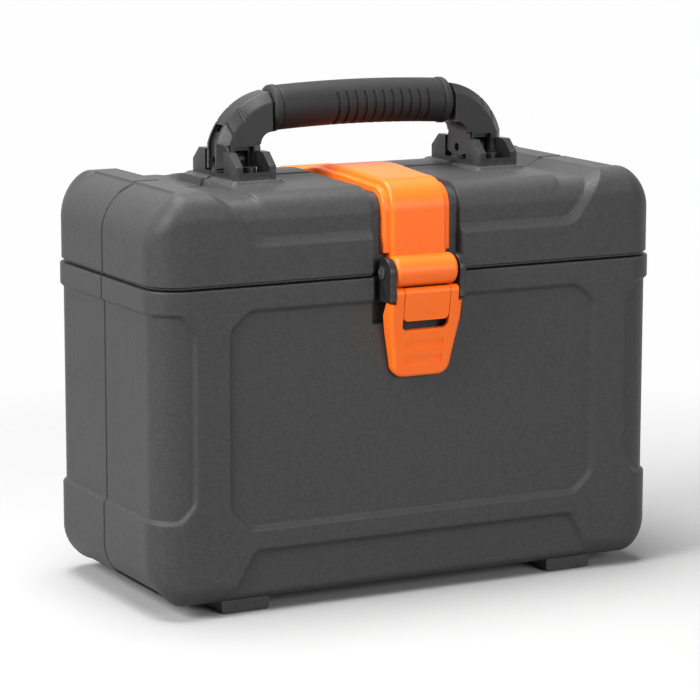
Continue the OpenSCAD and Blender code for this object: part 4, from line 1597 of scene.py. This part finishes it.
        def place(i: np.ndarray, j: np.ndarray) -> tuple:
            """Points of the sleeve; angle 0 faces the front and 90 degrees the top.

            Args:
                i: Numbers of the rings.
                j: Numbers of the points round them.

            Returns:
                The three coordinates.
            """
            turn = 2 * np.pi * j / around
            along = x[i]
            past = np.abs(along[:, None] - slots).min(axis=1)
            across = np.clip((1.15 - past) / 0.5, 0, 1)
            rise = np.degrees(np.arcsin(np.clip(np.sin(turn), -1, 1)))
            reach = np.clip((33 - rise) / 6, 0, 1)
            depth = self.slot_depth * across * across * (3 - 2 * across) * reach * reach * (3 - 2 * reach)
            r = np.interp(along, ring_x, ring_r) - depth
            lift = np.sqrt(np.maximum(bend ** 2 - along ** 2, 0)) - bend + self.bow
            return along, -r * np.cos(turn), self.grip_z + lift + r * np.sin(turn)

        sleeve = Bench.tube(len(x), around, place)
        Bench.cut(sleeve, Bench.rod((-70, 0, self.grip_z), (70, 0, self.grip_z), 5.07, 40))
        Bench.finish(sleeve, "grip_sleeve", "handle", self.rubber, ["handle_grip"], 40)

    def build(self) -> None:
        """Model the brackets, the legs and the grip."""
        for s in HANDS:
            self.bracket(s)
        self.legs()
        self.grip()


# Feet

@dataclass
class Feet:
    """Four short moulded feet."""

    coat: Coat
    screw_x: float = 107.8
    screw_y: float = 57.0
    front: float = 70.0

    def foot(self, name: str, x: float, y: float) -> None:
        """One foot, with rounded lower corners.

        Args:
            name: Its frame node, whose box it fills.
            x: Place of its screw across.
            y: Place of its screw from front to rear.
        """
        corner, opposite = node_box(name)
        obj = Bench.block(corner + (0.01, 0.01, 0), opposite - (0.01, 0.01, 0.02))
        Bench.bevel_where(obj, 2.4, 5, lambda a, b: max(a.z, b.z) < 0.01 and abs(a.x - b.x) < 0.01)
        Bench.bevel_where(
            obj, 0.5, 2, lambda a, b: abs(a.y - b.y) < 0.01 and abs(abs(a.y) - self.front) < 0.05
        )
        for low, high, radius, sides in ((-1, 3.2, 4.42, 40), (1, 13, 2.22, 24)):
            Bench.cut(obj, Bench.rod((x, y, low), (x, y, high), radius, sides))
        Bench.finish(obj, f"{name}_moulding", "case", self.coat, [name], 35)

    def build(self) -> None:
        """Model the four feet."""
        for s, hand in HANDS.items():
            for t, end in ((-1, "front"), (1, "rear")):
                self.foot(f"foot_{end}_{hand}", s * self.screw_x, t * self.screw_y)


# Studio

@dataclass(frozen=True)
class SoftBox:
    """A rectangular lamp."""

    name: str
    at: Point
    aim: Point
    size: tuple[float, float]
    watts: float

    def hang(self) -> None:
        """Add the lamp to the scene."""
        data = bpy.data.lights.new(self.name, "AREA")
        data.shape = "RECTANGLE"
        data.size, data.size_y = self.size
        data.energy = self.watts
        obj = bpy.data.objects.new(self.name, data)
        bpy.context.scene.collection.objects.link(obj)
        obj.location = self.at
        obj.rotation_euler = (Vector(self.aim) - Vector(self.at)).to_track_quat("-Z", "Y").to_euler()


@dataclass
class Studio:
    """Camera, lamps and a white floor."""

    focal_mm: float = 158.8
    sensor_mm: float = 36.0
    camera_at: Point = (-0.8505, -1.6128, 0.4575)
    looks_along: Point = (0.4575, 0.8717, -0.1757)
    roll_deg: float = 0.08
    bounce: float = 0.3
    white: float = 0.47
    fade_from: float = 0.3
    fade_to: float = 0.62
    backdrop: float = 0.99
    glow: float = 0.2
    lamps: Sequence[SoftBox] = (
        SoftBox("key_left", (-1.7, -0.35, 1.15), (0, 0, 0.14), (0.9, 0.9), 50),
        SoftBox("top", (-0.15, 0.15, 1.7), (0, 0, 0.1), (1.2, 1.0), 43),
        SoftBox("front", (0.5, -2.3, 0.8), (0, 0, 0.14), (1.1, 0.9), 28),
    )

    def camera(self) -> None:
        """Place the camera at the photograph's angle."""
        data = bpy.data.cameras.new("camera")
        data.lens, data.sensor_width = self.focal_mm, self.sensor_mm
        data.clip_start, data.clip_end = 0.05, 20.0
        cam = bpy.data.objects.new("camera", data)
        bpy.context.scene.collection.objects.link(cam)
        cam.location = self.camera_at
        turn = Vector(self.looks_along).to_track_quat("-Z", "Y").to_matrix()
        cam.rotation_euler = (turn @ Matrix.Rotation(math.radians(self.roll_deg), 3, "Z")).to_euler()
        bpy.context.scene.camera = cam

    def floor(self) -> None:
        """Add a wide white floor that keeps the object's shadow."""
        plane = Bench.primitive(bpy.ops.mesh.primitive_plane_add, size=12)
        plane.name = "studio_floor"
        plane.location = (0, 0, 0)
        g = Graph(bpy.data.materials.new("studio_white"))
        dim, white = ((level, level, level, 1) for level in (self.bounce, self.white))
        tone = g.mix(g.in_view(), dim, white)
        reach = g.add("ShaderNodeVectorMath", {0: g.place}, 1, operation="LENGTH")
        fade = g.ramp(reach * 0.5, (self.fade_from / 2, 1.0), (self.fade_to / 2, 0.0))
        plane.data.materials.append(
            g.close(Base_Color=tone, Roughness=0.9, Specular_IOR_Level=0.0, Alpha=fade)
        )

    def world(self) -> None:
        """White for the camera and for reflections, a plain soft light for the object."""
        world = bpy.data.worlds.new("studio")
        bpy.context.scene.world = world
        g = Graph(world)
        seen = g.add("ShaderNodeBackground", {"Color": (self.backdrop,) * 3 + (1.0,), "Strength": 1.0})
        glow = g.add("ShaderNodeBackground", {"Strength": self.glow})
        g.surface(g.add("ShaderNodeMixShader", {0: g.in_view(), 1: glow, 2: seen}), "World")

    def build(self) -> None:
        """Set the studio up."""
        scene = bpy.context.scene
        scene.view_settings.view_transform = "Standard"
        self.camera()
        self.floor()
        self.world()
        for lamp in self.lamps:
            lamp.hang()


def dress_frame(coats: dict[str, Coat]) -> None:
    """Give every frame node the finish of its material slot.

    Args:
        coats: Slots with their finishes, by slot.
    """
    record = frame["record"]
    slots = {part["node"]: part["material_slot"] for part in record["subparts"]}
    for node, obj in frame["nodes"].items():
        obj.data.materials.clear()
        obj.data.materials.append(coats[slots[node]][1])


def main() -> None:
    """Build the finishes, the sub-assemblies and the studio in order."""
    coats = {slot: (slot, finish.material()) for slot, finish in FINISHES.items()}
    dress_frame(coats)
    Studio().build()
    CaseShells(coats["shell_plastic"]).build()
    Latch(coats["orange_plastic"], coats["black_plastic"]).build()
    Handle(coats["black_plastic"], coats["grip_rubber"]).build()
    Feet(coats["shell_plastic"]).build()


if __name__ == "__main__":
    main()
